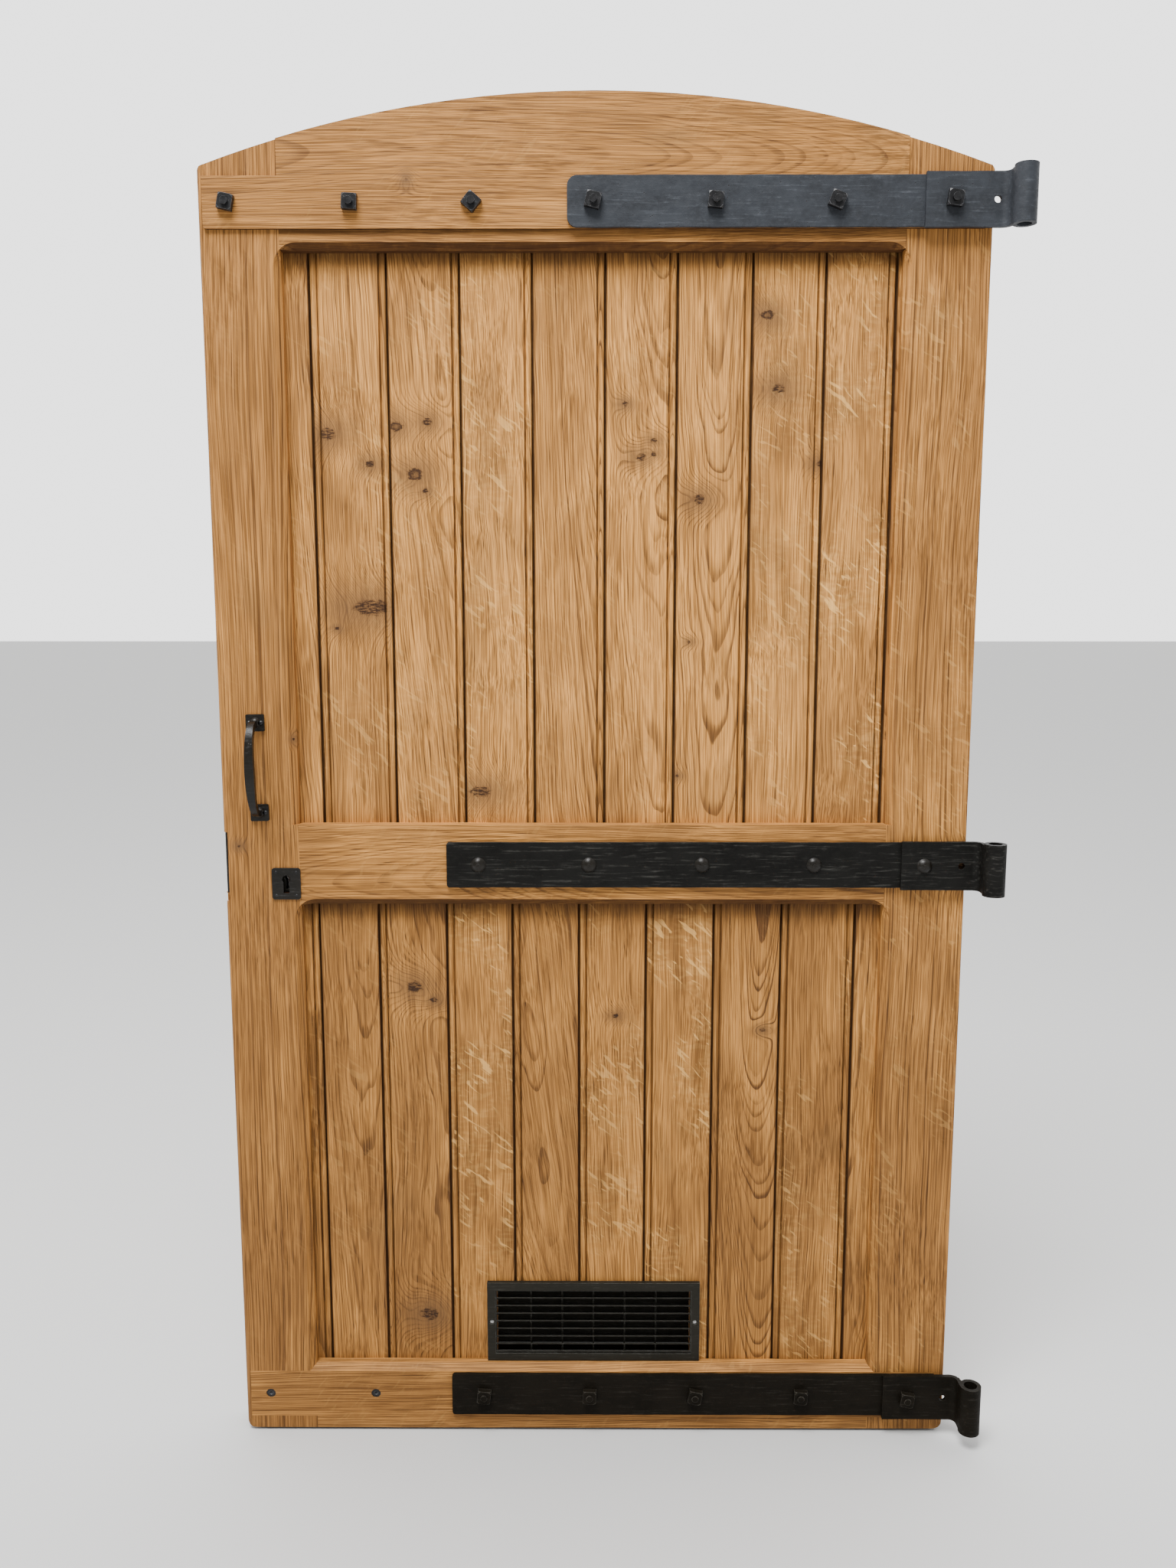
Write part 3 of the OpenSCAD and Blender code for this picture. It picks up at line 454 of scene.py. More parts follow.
    def _ring_band(self, s: Sheet, given: Inputs, bent: Socket) -> Socket:
        """The dark band at the end of each year's ring.

        Args:
            s: the sheet to draw on.
            given: the group's inputs.
            bent: the bent place.

        Returns:
            The band's strength.
        """
        parts = s.add("SeparateXYZ", {0: s.vector("SUBTRACT", bent, given["Pith"])})
        deep = s.sum("MULTIPLY_ADD", parts.outputs[2], given["Tilt"], parts.outputs[1])
        flat = s.add("CombineXYZ", {0: parts.outputs[0], 1: deep, 2: 0.0}).outputs[0]
        radius = s.sum("ADD", s.vector("LENGTH", flat), given["Knot Push"])
        rings = s.sum("DIVIDE", radius, given["Ring"])
        uneven = s.add("TexNoise", {
            "W": s.sum("ADD", rings, given["Seed"]), "Scale": 0.27, "Detail": 2.0,
        }, noise_dimensions="1D").outputs["Fac"]
        rings = s.sum("MULTIPLY_ADD", uneven, 2.6, rings)
        part = s.sum("FRACT", rings)
        # soft rise through the ring and a sharp fall at its end
        band = s.sum("MULTIPLY", s.span(part, 0.52, 0.92), s.span(part, 1.0, 0.95))
        year = s.sum("FLOOR", rings)
        which = s.add("TexWhiteNoise", {"W": year}, noise_dimensions="1D").outputs["Value"]
        return s.sum("MULTIPLY", band, s.span(which, -0.5, 1.0))

    def _rays(self, s: Sheet, given: Inputs, wild: Socket, fibres: Socket) -> tuple[Socket, Socket]:
        """Ray fleck: the peaks of a noise drawn out across the grain, in patches.

        Args:
            s: the sheet to draw on.
            given: the group's inputs.
            wild: the place in the log.
            fibres: the bent place in the log.

        Returns:
            The rays' share, and that of the sheen round them.
        """
        turned = s.add("Mapping", {"Vector": fibres, "Rotation": (0.0, 0.85, 0.0)}).outputs[0]
        ray = s.add("TexNoise", {
            "Vector": s.stretch(turned, (150.0, 60.0, 36.0)), "Scale": 1.0, "Detail": 0.6,
            "Roughness": 0.5, "Distortion": 0.9,
        }).outputs["Fac"]
        curl = s.noise(fibres, (60.0, 60.0, 160.0), 1.0, 0.5)
        patches = s.span(s.noise(wild, (12.0, 12.0, 7.0), 1.5, 0.5), 0.44, 0.58)
        rays = s.sum("MULTIPLY", s.span(ray, 0.61, 0.70), patches)
        sheen = s.sum("MULTIPLY", s.span(curl, 0.42, 0.66), patches)
        return (s.sum("MULTIPLY", rays, given["Fleck"], clamp=True),
                s.sum("MULTIPLY", sheen, given["Fleck"], clamp=True))

    def _body(self, s: Sheet, given: Inputs, wild: Socket, sheen: Socket) -> Socket:
        """The wood's broad colour, in clouds, patches and stains.

        Args:
            s: the sheet to draw on.
            given: the group's inputs.
            wild: the place in the log.
            sheen: the share of the sheen round the rays.

        Returns:
            The colour.
        """
        cloud = s.noise(wild, (8.0, 8.0, 3.0), 2.0, 0.55)
        patch = s.noise(wild, (26.0, 26.0, 9.0), 2.0, 0.6)
        stain = s.span(s.noise(wild, (9.0, 9.0, 4.4), 3.0, 0.6), 0.56, 0.74)
        tone = s.sum("MULTIPLY_ADD", s.sum("SUBTRACT", cloud, 0.5), 1.7, given["Tone"])
        tone = s.sum("MULTIPLY_ADD", s.sum("SUBTRACT", patch, 0.5), 1.4, tone)
        body = s.mix(s.span(tone, 0.05, 0.95), self.BODY, self.PALE)
        body = s.mix(s.sum("MULTIPLY", given["Warm"], 0.7), body, self.WARM)
        body = s.mix(s.sum("MULTIPLY", stain, 0.42), body, self.CLOUD)
        return s.mix(s.sum("MULTIPLY", sheen, 0.22), body, self.FLECK)

    def _streak(self, s: Sheet, fibres: Socket, fibre: Socket) -> Socket:
        """The lighter and darker streaks of single fibres, as a tint.

        Args:
            s: the sheet to draw on.
            fibres: the bent place in the log.
            fibre: the noise of the fine fibres.

        Returns:
            The tint, about 1.
        """
        coarse = s.noise(fibres, (150.0, 150.0, 2.6), 1.0, 0.55)
        streak = s.sum("ADD", s.span(fibre, 0.36, 0.62, -0.42, 0.24),
                       s.span(coarse, 0.34, 0.66, -0.08, 0.06))
        return s.add("CombineXYZ", {
            0: s.sum("MULTIPLY_ADD", streak, 0.94, 1.0),
            1: s.sum("MULTIPLY_ADD", streak, 1.00, 1.0),
            2: s.sum("MULTIPLY_ADD", streak, 1.08, 1.0),
        }).outputs[0]

    def _bend(self, s: Sheet, place: Socket, scale: tuple[float, float, float], reach: float) -> Socket:
        """A sideways bend of the fibres by a smooth noise.

        Args:
            s: the sheet to draw on.
            place: the place in the log.
            scale: waves in a metre along each axis.
            reach: the bend's size in metres.

        Returns:
            The bend, as a vector.
        """
        noise = s.add("TexNoise", {
            "Vector": s.stretch(place, scale), "Scale": 1.0, "Detail": 0.7, "Roughness": 0.45,
        }).outputs["Color"]
        return s.stretch(s.vector("SUBTRACT", noise, (0.5, 0.5, 0.5)), (reach, reach, 0.0))

    def material(self, name: str, figure: OakFigure, middle: Vector) -> bpy.types.Material:
        """Makes the oak of one piece.

        Args:
            name: the material's name.
            figure: how the piece was sawn.
            middle: the middle of the piece.

        Returns:
            The material.
        """
        made = bpy.data.materials.new(name)
        made.use_nodes = True
        made.node_tree.nodes.clear()
        s = Sheet(made.node_tree)
        coordinates = s.add("TexCoord").outputs["Object"]
        centred = s.vector("SUBTRACT", coordinates, tuple(middle))
        if figure.grain is Grain.LEVEL:
            place = s.add("Mapping", {"Vector": centred, "Rotation": (0.0, math.pi / 2, 0.0)}).outputs[0]
        else:
            place = centred
        solid = s.add("Group", node_tree=self.group)
        push, core, halo = self._knots(s, place, figure)
        specks = s.noise(coordinates, (60.0, 60.0, 22.0), 3.0, 0.6)
        dirt_and_shade = self._dirt_and_shade(s, coordinates, specks, figure)
        up = s.add("SeparateXYZ", {0: coordinates}).outputs[2]
        foot = s.span(s.sum("MULTIPLY_ADD", specks, 0.25, up), 1.25, 0.45)
        for key, value in {
            "Place": place, "Pith": (figure.pith_across, figure.pith_deep, 0.0), "Tilt": figure.pith_tilt,
            "Ring": figure.ring, "Seed": figure.seed, "Wave": figure.wave, "Slant": figure.slant,
            "Fleck": figure.fleck, "Contrast": figure.contrast, "Tone": figure.tone, "Warm": figure.warm,
            "Knot Push": push, "Knot Core": core, "Knot Halo": halo, "Dirt And Shade": dirt_and_shade, "Foot": foot,
        }.items():
            s.put(solid.inputs[key], value)
        bump = s.add("Bump", {"Height": solid.outputs["Height"], "Strength": 0.42, "Distance": 0.0006})
        shader = s.add("BsdfPrincipled", {
            "Base Color": solid.outputs["Colour"], "Roughness": solid.outputs["Roughness"],
            "Normal": bump.outputs[0], "Specular IOR Level": 0.14,
        })
        s.add("OutputMaterial", {"Surface": shader.outputs[0]})
        return made

    def _dirt_and_shade(self, s: Sheet, coordinates: Socket, specks: Socket, figure: OakFigure) -> Socket:
        """Works out where dirt and shade darken one piece.

        The grooves below its front and its dirty edges are darker, and shade is painted on what faces
        down, under the ledges and inside its hole. Its back gets no darkening in grooves and no painted
        shade under a small ledge.

        Args:
            s: the sheet to draw on.
            coordinates: the place in the frame.
            specks: the noise that breaks the dirt up.
            figure: the piece's figure.

        Returns:
            How dark it is, from 0 to 1.
        """
        across, deep, up = s.add("SeparateXYZ", {0: coordinates}).outputs
        front = figure.face
        dirt_and_shade = s.span(deep, front + self.GROOVE_BEGINS, front + self.GROOVE_FULL, 0.0, self.GROOVE_SHADE)
        dirt_and_shade = s.sum("MULTIPLY", dirt_and_shade, s.span(deep, front + self.GROOVE_ENDS, front + self.GROOVE_FADES))
        # painted shade: whatever faces down is painted darker, standing for the shade under it
        facing = s.add("SeparateXYZ", {0: s.add("NewGeometry").outputs["Normal"]}).outputs[2]
        dirt_and_shade = s.sum("MAXIMUM", dirt_and_shade, s.span(facing, -0.25, -0.80, 0.0, self.SOFFIT_SHADE))
        if figure.edges:
            left, right = figure.edges
            full, ends = self.QUIRK_FULL, self.QUIRK_ENDS
            near = s.sum("MAXIMUM", s.span(across, left + ends, left + full, self.QUIRK_SHARE, 1.0),
                         s.span(across, right - ends, right - full, self.QUIRK_SHARE, 1.0))
            dirt_and_shade = s.sum("MULTIPLY", dirt_and_shade, near)
            joint = s.sum("MAXIMUM", s.span(across, left + self.JOINT_REACH, left),
                          s.span(across, right - self.JOINT_REACH, right))
            dirt_and_shade = s.sum("MAXIMUM", dirt_and_shade, s.sum("MULTIPLY", joint, self.JOINT_SHADE))
        # painted shadow: each board is painted darker for a stretch below the rail above it
        if figure.shadow_line:
            near = s.sum("POWER", s.span(up, figure.shadow_line - self.SHADOW_REACH, figure.shadow_line), 2.6)
            dirt_and_shade = s.sum("MAXIMUM", dirt_and_shade, s.sum("MULTIPLY", near, self.SHADOW_DARKNESS))
        # painted shade below the small ledge, on the front only
        if figure.ledge:
            below = s.span(up, figure.ledge - self.LEDGE_REACH, figure.ledge)
            below = s.sum("MULTIPLY", below, s.span(up, figure.ledge + 0.4 * MM, figure.ledge))
            below = s.sum("MULTIPLY", below, s.span(deep, FRAME_FACE + 4 * MM, FRAME_FACE + 2 * MM))
            dirt_and_shade = s.sum("MAXIMUM", dirt_and_shade, s.sum("MULTIPLY", below, self.LEDGE_SHADE))
        # painted shade: the wood seen through the hole is painted dark
        if figure.hole:
            hole_across, hole_up, radius = figure.hole
            away = s.vector("SUBTRACT", coordinates, (hole_across, 0.0, hole_up))
            reach = s.vector("LENGTH", s.stretch(away, (1.0, 0.0, 1.0)))
            dirt_and_shade = s.sum("MAXIMUM", dirt_and_shade, s.span(reach, radius + 1.0 * MM, radius, 0.0, self.HOLE_SHADE))
        return s.sum("MULTIPLY", dirt_and_shade, s.span(specks, 0.2, 0.6, 0.85, 1.0))

    def _knots(self, s: Sheet, place: Socket, figure: OakFigure) -> tuple[object, object, object]:
        """Adds up the knots of one piece.

        Each knot pushes the rings out round it by a bell curve of the distance, and has a ragged
        dark core in a brown halo. Depth counts for less, so that a knot runs into the wood.

        Args:
            s: the sheet to draw on.
            place: the place in the piece.
            figure: the piece's figure, with its knots.

        Returns:
            How far rings are pushed, the core's share and the halo's share.
        """
        if not figure.knots:
            return 0.0, 0.0, 0.0
        ragged = s.noise(place, (150.0, 150.0, 260.0), 3.0, 0.7)
        torn = s.noise(place, (120.0, 120.0, 520.0), 3.0, 0.65)
        push, core, halo = 0.0, 0.0, 0.0
        for knot in figure.knots:
            away = s.vector("SUBTRACT", place, (knot.across, 0.0, knot.along))
            away = s.stretch(away, (1.0 / knot.wide, 0.10, 1.0))
            reach = s.vector("LENGTH", away)
            uneven = s.sum("MULTIPLY_ADD", s.sum("SUBTRACT", ragged, 0.5), knot.size * 1.5, reach)
            wide = s.sum("DIVIDE", reach, knot.size * 3.6)
            bell = s.sum("POWER", math.e, s.sum("MULTIPLY", s.sum("MULTIPLY", wide, wide), -1.0))
            push = s.sum("MULTIPLY_ADD", bell, knot.size * 2.8, push)
            hole = s.span(uneven, knot.size * 1.15, knot.size * 0.70)
            if knot.eye:
                brown = s.span(uneven, knot.size * 0.15, knot.size * 0.75, 0.40, 1.0)
                hole = s.sum("MULTIPLY", hole, brown)
            else:
                hole = s.sum("MULTIPLY", hole, s.span(torn, 0.40, 0.54, 0.30, 1.0))
            core = s.sum("MAXIMUM", core, hole)
            smoke = s.sum("POWER", s.span(uneven, knot.size * 6.5, knot.size * 0.5), 1.5)
            halo = s.sum("MAXIMUM", halo, smoke)
        return push, core, halo


@dataclass(frozen=True)
class IronFinish:
    """Forged iron under a worn dark coat.

    coat and deep are the two tones of the coat, rubbed_and_glint is its tone on high spots and
    edges, where it is worn bare and, in some finishes, also lit as a painted glint, and dirt is the
    brown in its pits. rough, metal and gloss are how it shines. stroke is the strength of brushed
    streaks along the bar, wear that of worn flecks, edge that of the worn and glinting edges, and
    bump that of the relief.
    """

    name: str
    coat: Colour
    deep: Colour
    rubbed_and_glint: Colour
    dirt: Colour
    rough: float = 0.5
    metal: float = 0.3
    gloss: float = 0.3
    stroke: float = 0.2
    wear: float = 0.5
    edge: float = 0.6
    bump: float = 0.5

    def material(self) -> bpy.types.Material:
        """Makes the material.

        Broad clouds of tone carry fine scale marks, streaks along X, pits and worn flecks. The
        edge attribute, 1 on eased edges, brings the rubbed_and_glint tone there: worn metal, and in the
        vent and brown finishes also painted glints and highlights on those edges.

        Returns:
            The material.
        """
        made = bpy.data.materials.new(self.name)
        made.use_nodes = True
        made.node_tree.nodes.clear()
        s = Sheet(made.node_tree)
        place = s.add("TexCoord").outputs["Object"]
        cloud = s.noise(place, (14.0, 14.0, 22.0), 4.0, 0.6)
        scale_marks = s.noise(place, (150.0, 150.0, 170.0), 5.0, 0.65)
        streaks = s.noise(place, (24.0, 240.0, 360.0), 4.0, 0.64)
        grit = s.noise(place, (1100.0, 1100.0, 1100.0), 2.0, 0.6)
        pits = s.add("TexVoronoi", {"Vector": s.stretch(place, (230.0, 230.0, 230.0)), "Scale": 1.0},
                     feature="F1").outputs["Distance"]
        pit = s.sum("MULTIPLY", s.span(pits, 0.26, 0.05), s.span(scale_marks, 0.50, 0.62))
        dents = s.add("TexVoronoi", {
            "Vector": s.stretch(place, (58.0, 58.0, 66.0)), "Scale": 1.0, "Smoothness": 0.7,
        }, feature="SMOOTH_F1").outputs["Distance"]
        blend = s.sum("MULTIPLY_ADD", streaks, 0.55, s.sum("MULTIPLY", scale_marks, 0.45))
        worn = s.sum("MULTIPLY", s.span(blend, 0.54, 0.70), self.wear, clamp=True)
        edge = s.add("Attribute", attribute_name=EDGE).outputs["Fac"]
        chips = s.span(scale_marks, 0.38, 0.58, 0.25, 1.0)
        edge_glint_and_wear = s.sum("MULTIPLY", s.sum("MULTIPLY", edge, chips), self.edge)
        colour = s.mix(s.span(cloud, 0.28, 0.72), self.deep, self.coat)
        colour = s.mix(s.sum("MULTIPLY", s.span(scale_marks, 0.40, 0.62), 0.45), colour, self.coat)
        colour = s.mix(s.sum("MULTIPLY", s.span(streaks, 0.52, 0.72), self.stroke), colour, self.rubbed_and_glint)
        colour = s.mix(s.sum("MULTIPLY", worn, 0.75), colour, self.rubbed_and_glint)
        colour = s.mix(s.sum("MULTIPLY", pit, 0.8), colour, self.dirt)
        colour = s.mix(edge_glint_and_wear, colour, self.rubbed_and_glint)
        height = s.sum("MULTIPLY_ADD", scale_marks, 0.55, s.sum("MULTIPLY", dents, 1.1))
        height = s.sum("MULTIPLY_ADD", streaks, 0.35 * self.stroke + 0.1, height)
        height = s.sum("MULTIPLY_ADD", grit, 0.12, height)
        height = s.sum("MULTIPLY_ADD", pit, -0.5, height)
        bump = s.add("Bump", {"Height": height, "Strength": self.bump, "Distance": 0.0012})
        rough = s.sum("MULTIPLY_ADD", s.sum("SUBTRACT", scale_marks, 0.5), 0.45, self.rough)
        rough = s.sum("MULTIPLY_ADD", worn, -0.10, rough)
        rough = s.sum("MULTIPLY_ADD", edge_glint_and_wear, -0.14, rough, clamp=True)
        shader = s.add("BsdfPrincipled", {
            "Base Color": colour, "Roughness": rough, "Normal": bump.outputs[0], "Metallic": self.metal,
            "Specular IOR Level": self.gloss,
        })
        s.add("OutputMaterial", {"Surface": shader.outputs[0]})
        return made


SLATE_IRON = IronFinish(
    "slate_iron", coat=(0.034, 0.038, 0.045), deep=(0.021, 0.023, 0.027),
    rubbed_and_glint=(0.105, 0.116, 0.134), dirt=(0.014, 0.011, 0.009),
    rough=0.54, metal=0.0, gloss=0.16, stroke=0.16, wear=0.34, edge=0.80, bump=0.60,
)
BLACK_IRON = IronFinish(
    "black_iron", coat=(0.0085, 0.0083, 0.0074), deep=(0.0040, 0.0039, 0.0034),
    rubbed_and_glint=(0.078, 0.076, 0.068), dirt=(0.024, 0.012, 0.006),
    rough=0.50, metal=0.0, gloss=0.09, stroke=0.30, wear=0.34, edge=0.80, bump=0.80,
)
# its light edge tone is both wear and a painted glint on the eased edges of the bottom strap, plate and
# nuts
BROWN_IRON = IronFinish(
    "brown_iron", coat=(0.0090, 0.0072, 0.0048), deep=(0.0048, 0.0040, 0.0026),
    rubbed_and_glint=(0.055, 0.050, 0.042), dirt=(0.020, 0.011, 0.006),
    rough=0.52, metal=0.0, gloss=0.05, stroke=0.12, wear=0.24, edge=0.90, bump=0.70,
)
FIXING_IRON = IronFinish(
    "fixing_iron", coat=(0.0110, 0.0110, 0.0120), deep=(0.0052, 0.0052, 0.0058),
    rubbed_and_glint=(0.105, 0.107, 0.114), dirt=(0.022, 0.013, 0.008),
    rough=0.40, metal=0.0, gloss=0.30, stroke=0.05, wear=0.36, edge=0.90, bump=0.45,
)
WAXED_IRON = IronFinish(
    "waxed_iron", coat=(0.0085, 0.0068, 0.0044), deep=(0.0042, 0.0034, 0.0024),
    rubbed_and_glint=(0.085, 0.086, 0.088), dirt=(0.020, 0.013, 0.009),
    rough=0.36, metal=0.0, gloss=0.24, stroke=0.08, wear=0.30, edge=0.80, bump=0.45,
)
# its light edge tone is both worn paint and a painted highlight along the lit edges of the vent's slats
VENT_COAT = IronFinish(
    "vent_coat", coat=(0.0140, 0.0124, 0.0084), deep=(0.0096, 0.0086, 0.0058),
    rubbed_and_glint=(0.270, 0.270, 0.250), dirt=(0.022, 0.019, 0.013),
    rough=0.42, metal=0.0, gloss=0.14, stroke=0.03, wear=0.06, edge=0.85, bump=0.10,
)
BRIGHT_STEEL = IronFinish(
    "bright_steel", coat=(0.38, 0.38, 0.37), deep=(0.27, 0.27, 0.265),
    rubbed_and_glint=(0.52, 0.52, 0.51), dirt=(0.16, 0.14, 0.11),
    rough=0.34, metal=0.95, gloss=0.5, stroke=0.30, wear=0.30, edge=0.40, bump=0.10,
)
LEVER_BRASS = IronFinish(
    "lever_brass", coat=(0.52, 0.34, 0.10), deep=(0.38, 0.24, 0.07),
    rubbed_and_glint=(0.66, 0.48, 0.20), dirt=(0.16, 0.09, 0.03),
    rough=0.34, metal=0.95, gloss=0.5, stroke=0.30, wear=0.30, edge=0.30, bump=0.08,
)


# -------------------------------------------------------------- mesh makers


def whole_faces(node: str) -> bmesh.types.BMesh:
    """A merged copy of a CAD node's mesh, with each flat face made whole.

    Args:
        node: the CAD node.

    Returns:
        The copy, which the caller frees.
    """
    whole = bmesh.new()
    whole.from_mesh(frame["nodes"][node].data)
    bmesh.ops.remove_doubles(whole, verts=whole.verts, dist=WELD)
    bmesh.ops.dissolve_limit(whole, angle_limit=math.radians(FLAT_DEG), verts=whole.verts,
                             edges=whole.edges)
    return whole


def ease_edges(whole: bmesh.types.BMesh, ease: float, steps: int) -> None:
    """Rounds every sharp edge, and marks the rounding with the edge attribute.

    Args:
        whole: the mesh.
        ease: how far edges are rounded, in metres.
        steps: how many faces the rounding has.
    """
    sharp = [e for e in whole.edges if e.is_manifold and e.calc_face_angle(0.0) > math.radians(SHARP_DEG)]
    made = bmesh.ops.bevel(whole, geom=sharp, offset=ease, offset_type="OFFSET", segments=steps,
                           profile=0.5, affect="EDGES", clamp_overlap=True)
    layer = whole.loops.layers.float.new(EDGE)
    for loop in (loop for made_face in made["faces"] for loop in made_face.loops):
        loop[layer] = 1.0


def finish_copy(whole: bmesh.types.BMesh, node: str, name: str,
                finish: bpy.types.Material) -> None:
    """Turns a worked copy into the piece of the leaf that stands for its CAD node.

    Args:
        whole: the worked copy, which is freed.
        node: the CAD node it stands for.
        name: the new piece's name.
        finish: its material.
    """
    mesh = bpy.data.meshes.new(name)
    whole.to_mesh(mesh)
    whole.free()
    mesh.materials.clear()
    mesh.materials.append(finish)
    mesh.polygons.foreach_set("use_smooth", [True] * len(mesh.polygons))
    mesh.set_sharp_from_angle(angle=math.radians(SMOOTH_DEG))
    piece = bpy.data.objects.new(name, mesh)
    bpy.context.scene.collection.objects.link(piece)
    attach(piece, LEAF)
    normals = piece.modifiers.new("face_normals", "WEIGHTED_NORMAL")
    normals.keep_sharp = True
    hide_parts(node)
    LOG.info("%s: %d faces", name, len(mesh.polygons))


def refined(node: str, name: str, finish: bpy.types.Material, ease: float,
            steps: int = 2) -> None:
    """Makes a finished copy of a CAD node with its sharp edges eased.

    Args:
        node: the CAD node it stands for.
        name: the new piece's name.
        finish: its material.
        ease: how far its edges are rounded, in metres.
        steps: how many faces the rounding has.
    """
    whole = whole_faces(node)
    ease_edges(whole, ease, steps)
    finish_copy(whole, node, name, finish)


@dataclass(frozen=True)
class Forging:
    """How the smith left a flat bar.

    ease rounds its edges, dent is the depth of hammer marks, wave the wander of its edges and
    pitch the size of the faces it is cut into, in metres. broad and small are the sizes of the
    hammer marks, and slow and quick the distances between two turns of an edge. No mark reaches
    past stop along X, and marks fade out over the last stretch before it. Points within skin of
    the front are on it.
    """

    ease: float = 1.3 * MM
    dent: float = 0.45 * MM
    wave: float = 0.7 * MM
    pitch: float = 6.5 * MM
    broad: float = 17 * MM
    small: float = 8 * MM
    slow: float = 24 * MM
    quick: float = 7 * MM
    stop: float = 10.0
    fade: float = 4 * MM
    skin: float = 0.5 * MM
    seed: int = 1


def forged(node: str, name: str, finish: bpy.types.Material, work: Forging) -> None:
    """Makes a finished copy of a flat bar, cut into small faces and hammered.

    Front points sink by a smooth noise of place. Points move in from the long edges by a smooth
    noise of the distance along the bar, times the sixth power of how far out they lie from its
    middle line. Both go inwards only, so that nothing leaves the CAD box.

    Args:
        node: the CAD node it stands for.
        name: the new piece's name.
        finish: its material.
        work: how it was forged.
    """
    low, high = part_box(node)
    whole = whole_faces(node)
    for axis, normal in ((0, (1, 0, 0)), (2, (0, 0, 1))):
        end = min(high[axis], work.stop) if axis == 0 else high[axis]
        for place in np.arange(low[axis] + work.pitch, end - 0.4 * work.pitch, work.pitch):
            centre = [0.0, 0.0, 0.0]
            centre[axis] = float(place)
            bmesh.ops.bisect_plane(whole, geom=[*whole.verts, *whole.edges, *whole.faces], dist=1e-6,
                                   plane_co=centre, plane_no=normal)
    spots = np.array([v.co for v in whole.verts])
    x, y, z = spots.T
    fade = np.clip((work.stop - x) / work.fade, 0, 1)
    front = y < low.y + work.skin
    broad = smooth_noise_2d(x, z, work.seed, work.broad)
    small = smooth_noise_2d(x, z, work.seed + 1, work.small)
    marks = broad * 0.6 + small * 0.4
    y = y + np.where(front, fade * work.dent * (0.5 + 0.5 * marks), 0.0)
    half = (high.z - low.z) / 2
    middle = (high.z + low.z) / 2
    side = (z - middle) / half
    wander = 0.5 + 0.35 * smooth_noise(x + 3.1 * np.sign(side), work.seed + 2, work.slow)
    wander = wander + 0.15 * smooth_noise(x + 1.7 * np.sign(side), work.seed + 3, work.quick)
    z = z - np.sign(side) * np.abs(side) ** 6 * fade * work.wave * wander
    for vert, spot in zip(whole.verts, np.stack([x, y, z], axis=1).tolist()):
        vert.co = spot
    ease_edges(whole, work.ease, 3)
    finish_copy(whole, node, name, finish)


# ------------------------------------------------------------------ joinery


def board_figures(tones: list[float], base_seed: int, warm: float) -> list[OakFigure]:
    """Figures for the boards of one panel that have nothing special.

    Args:
        tones: the lightness of each board.
        base_seed: the seed of the first board.
        warm: how warm the panel is.

    Returns:
        One figure a board.
    """
    draw = np.random.default_rng(base_seed)
    return [
        OakFigure(seed=base_seed + 3.7 * i, pith_across=float(draw.uniform(-0.06, 0.06)),
                  pith_deep=float(draw.uniform(0.06, 0.11)), pith_tilt=float(draw.uniform(0.008, 0.028)),
                  ring=0.0027, tone=tone, warm=warm, wave=0.7, face=BOARD_FACE)
        for i, tone in enumerate(tones)
    ]


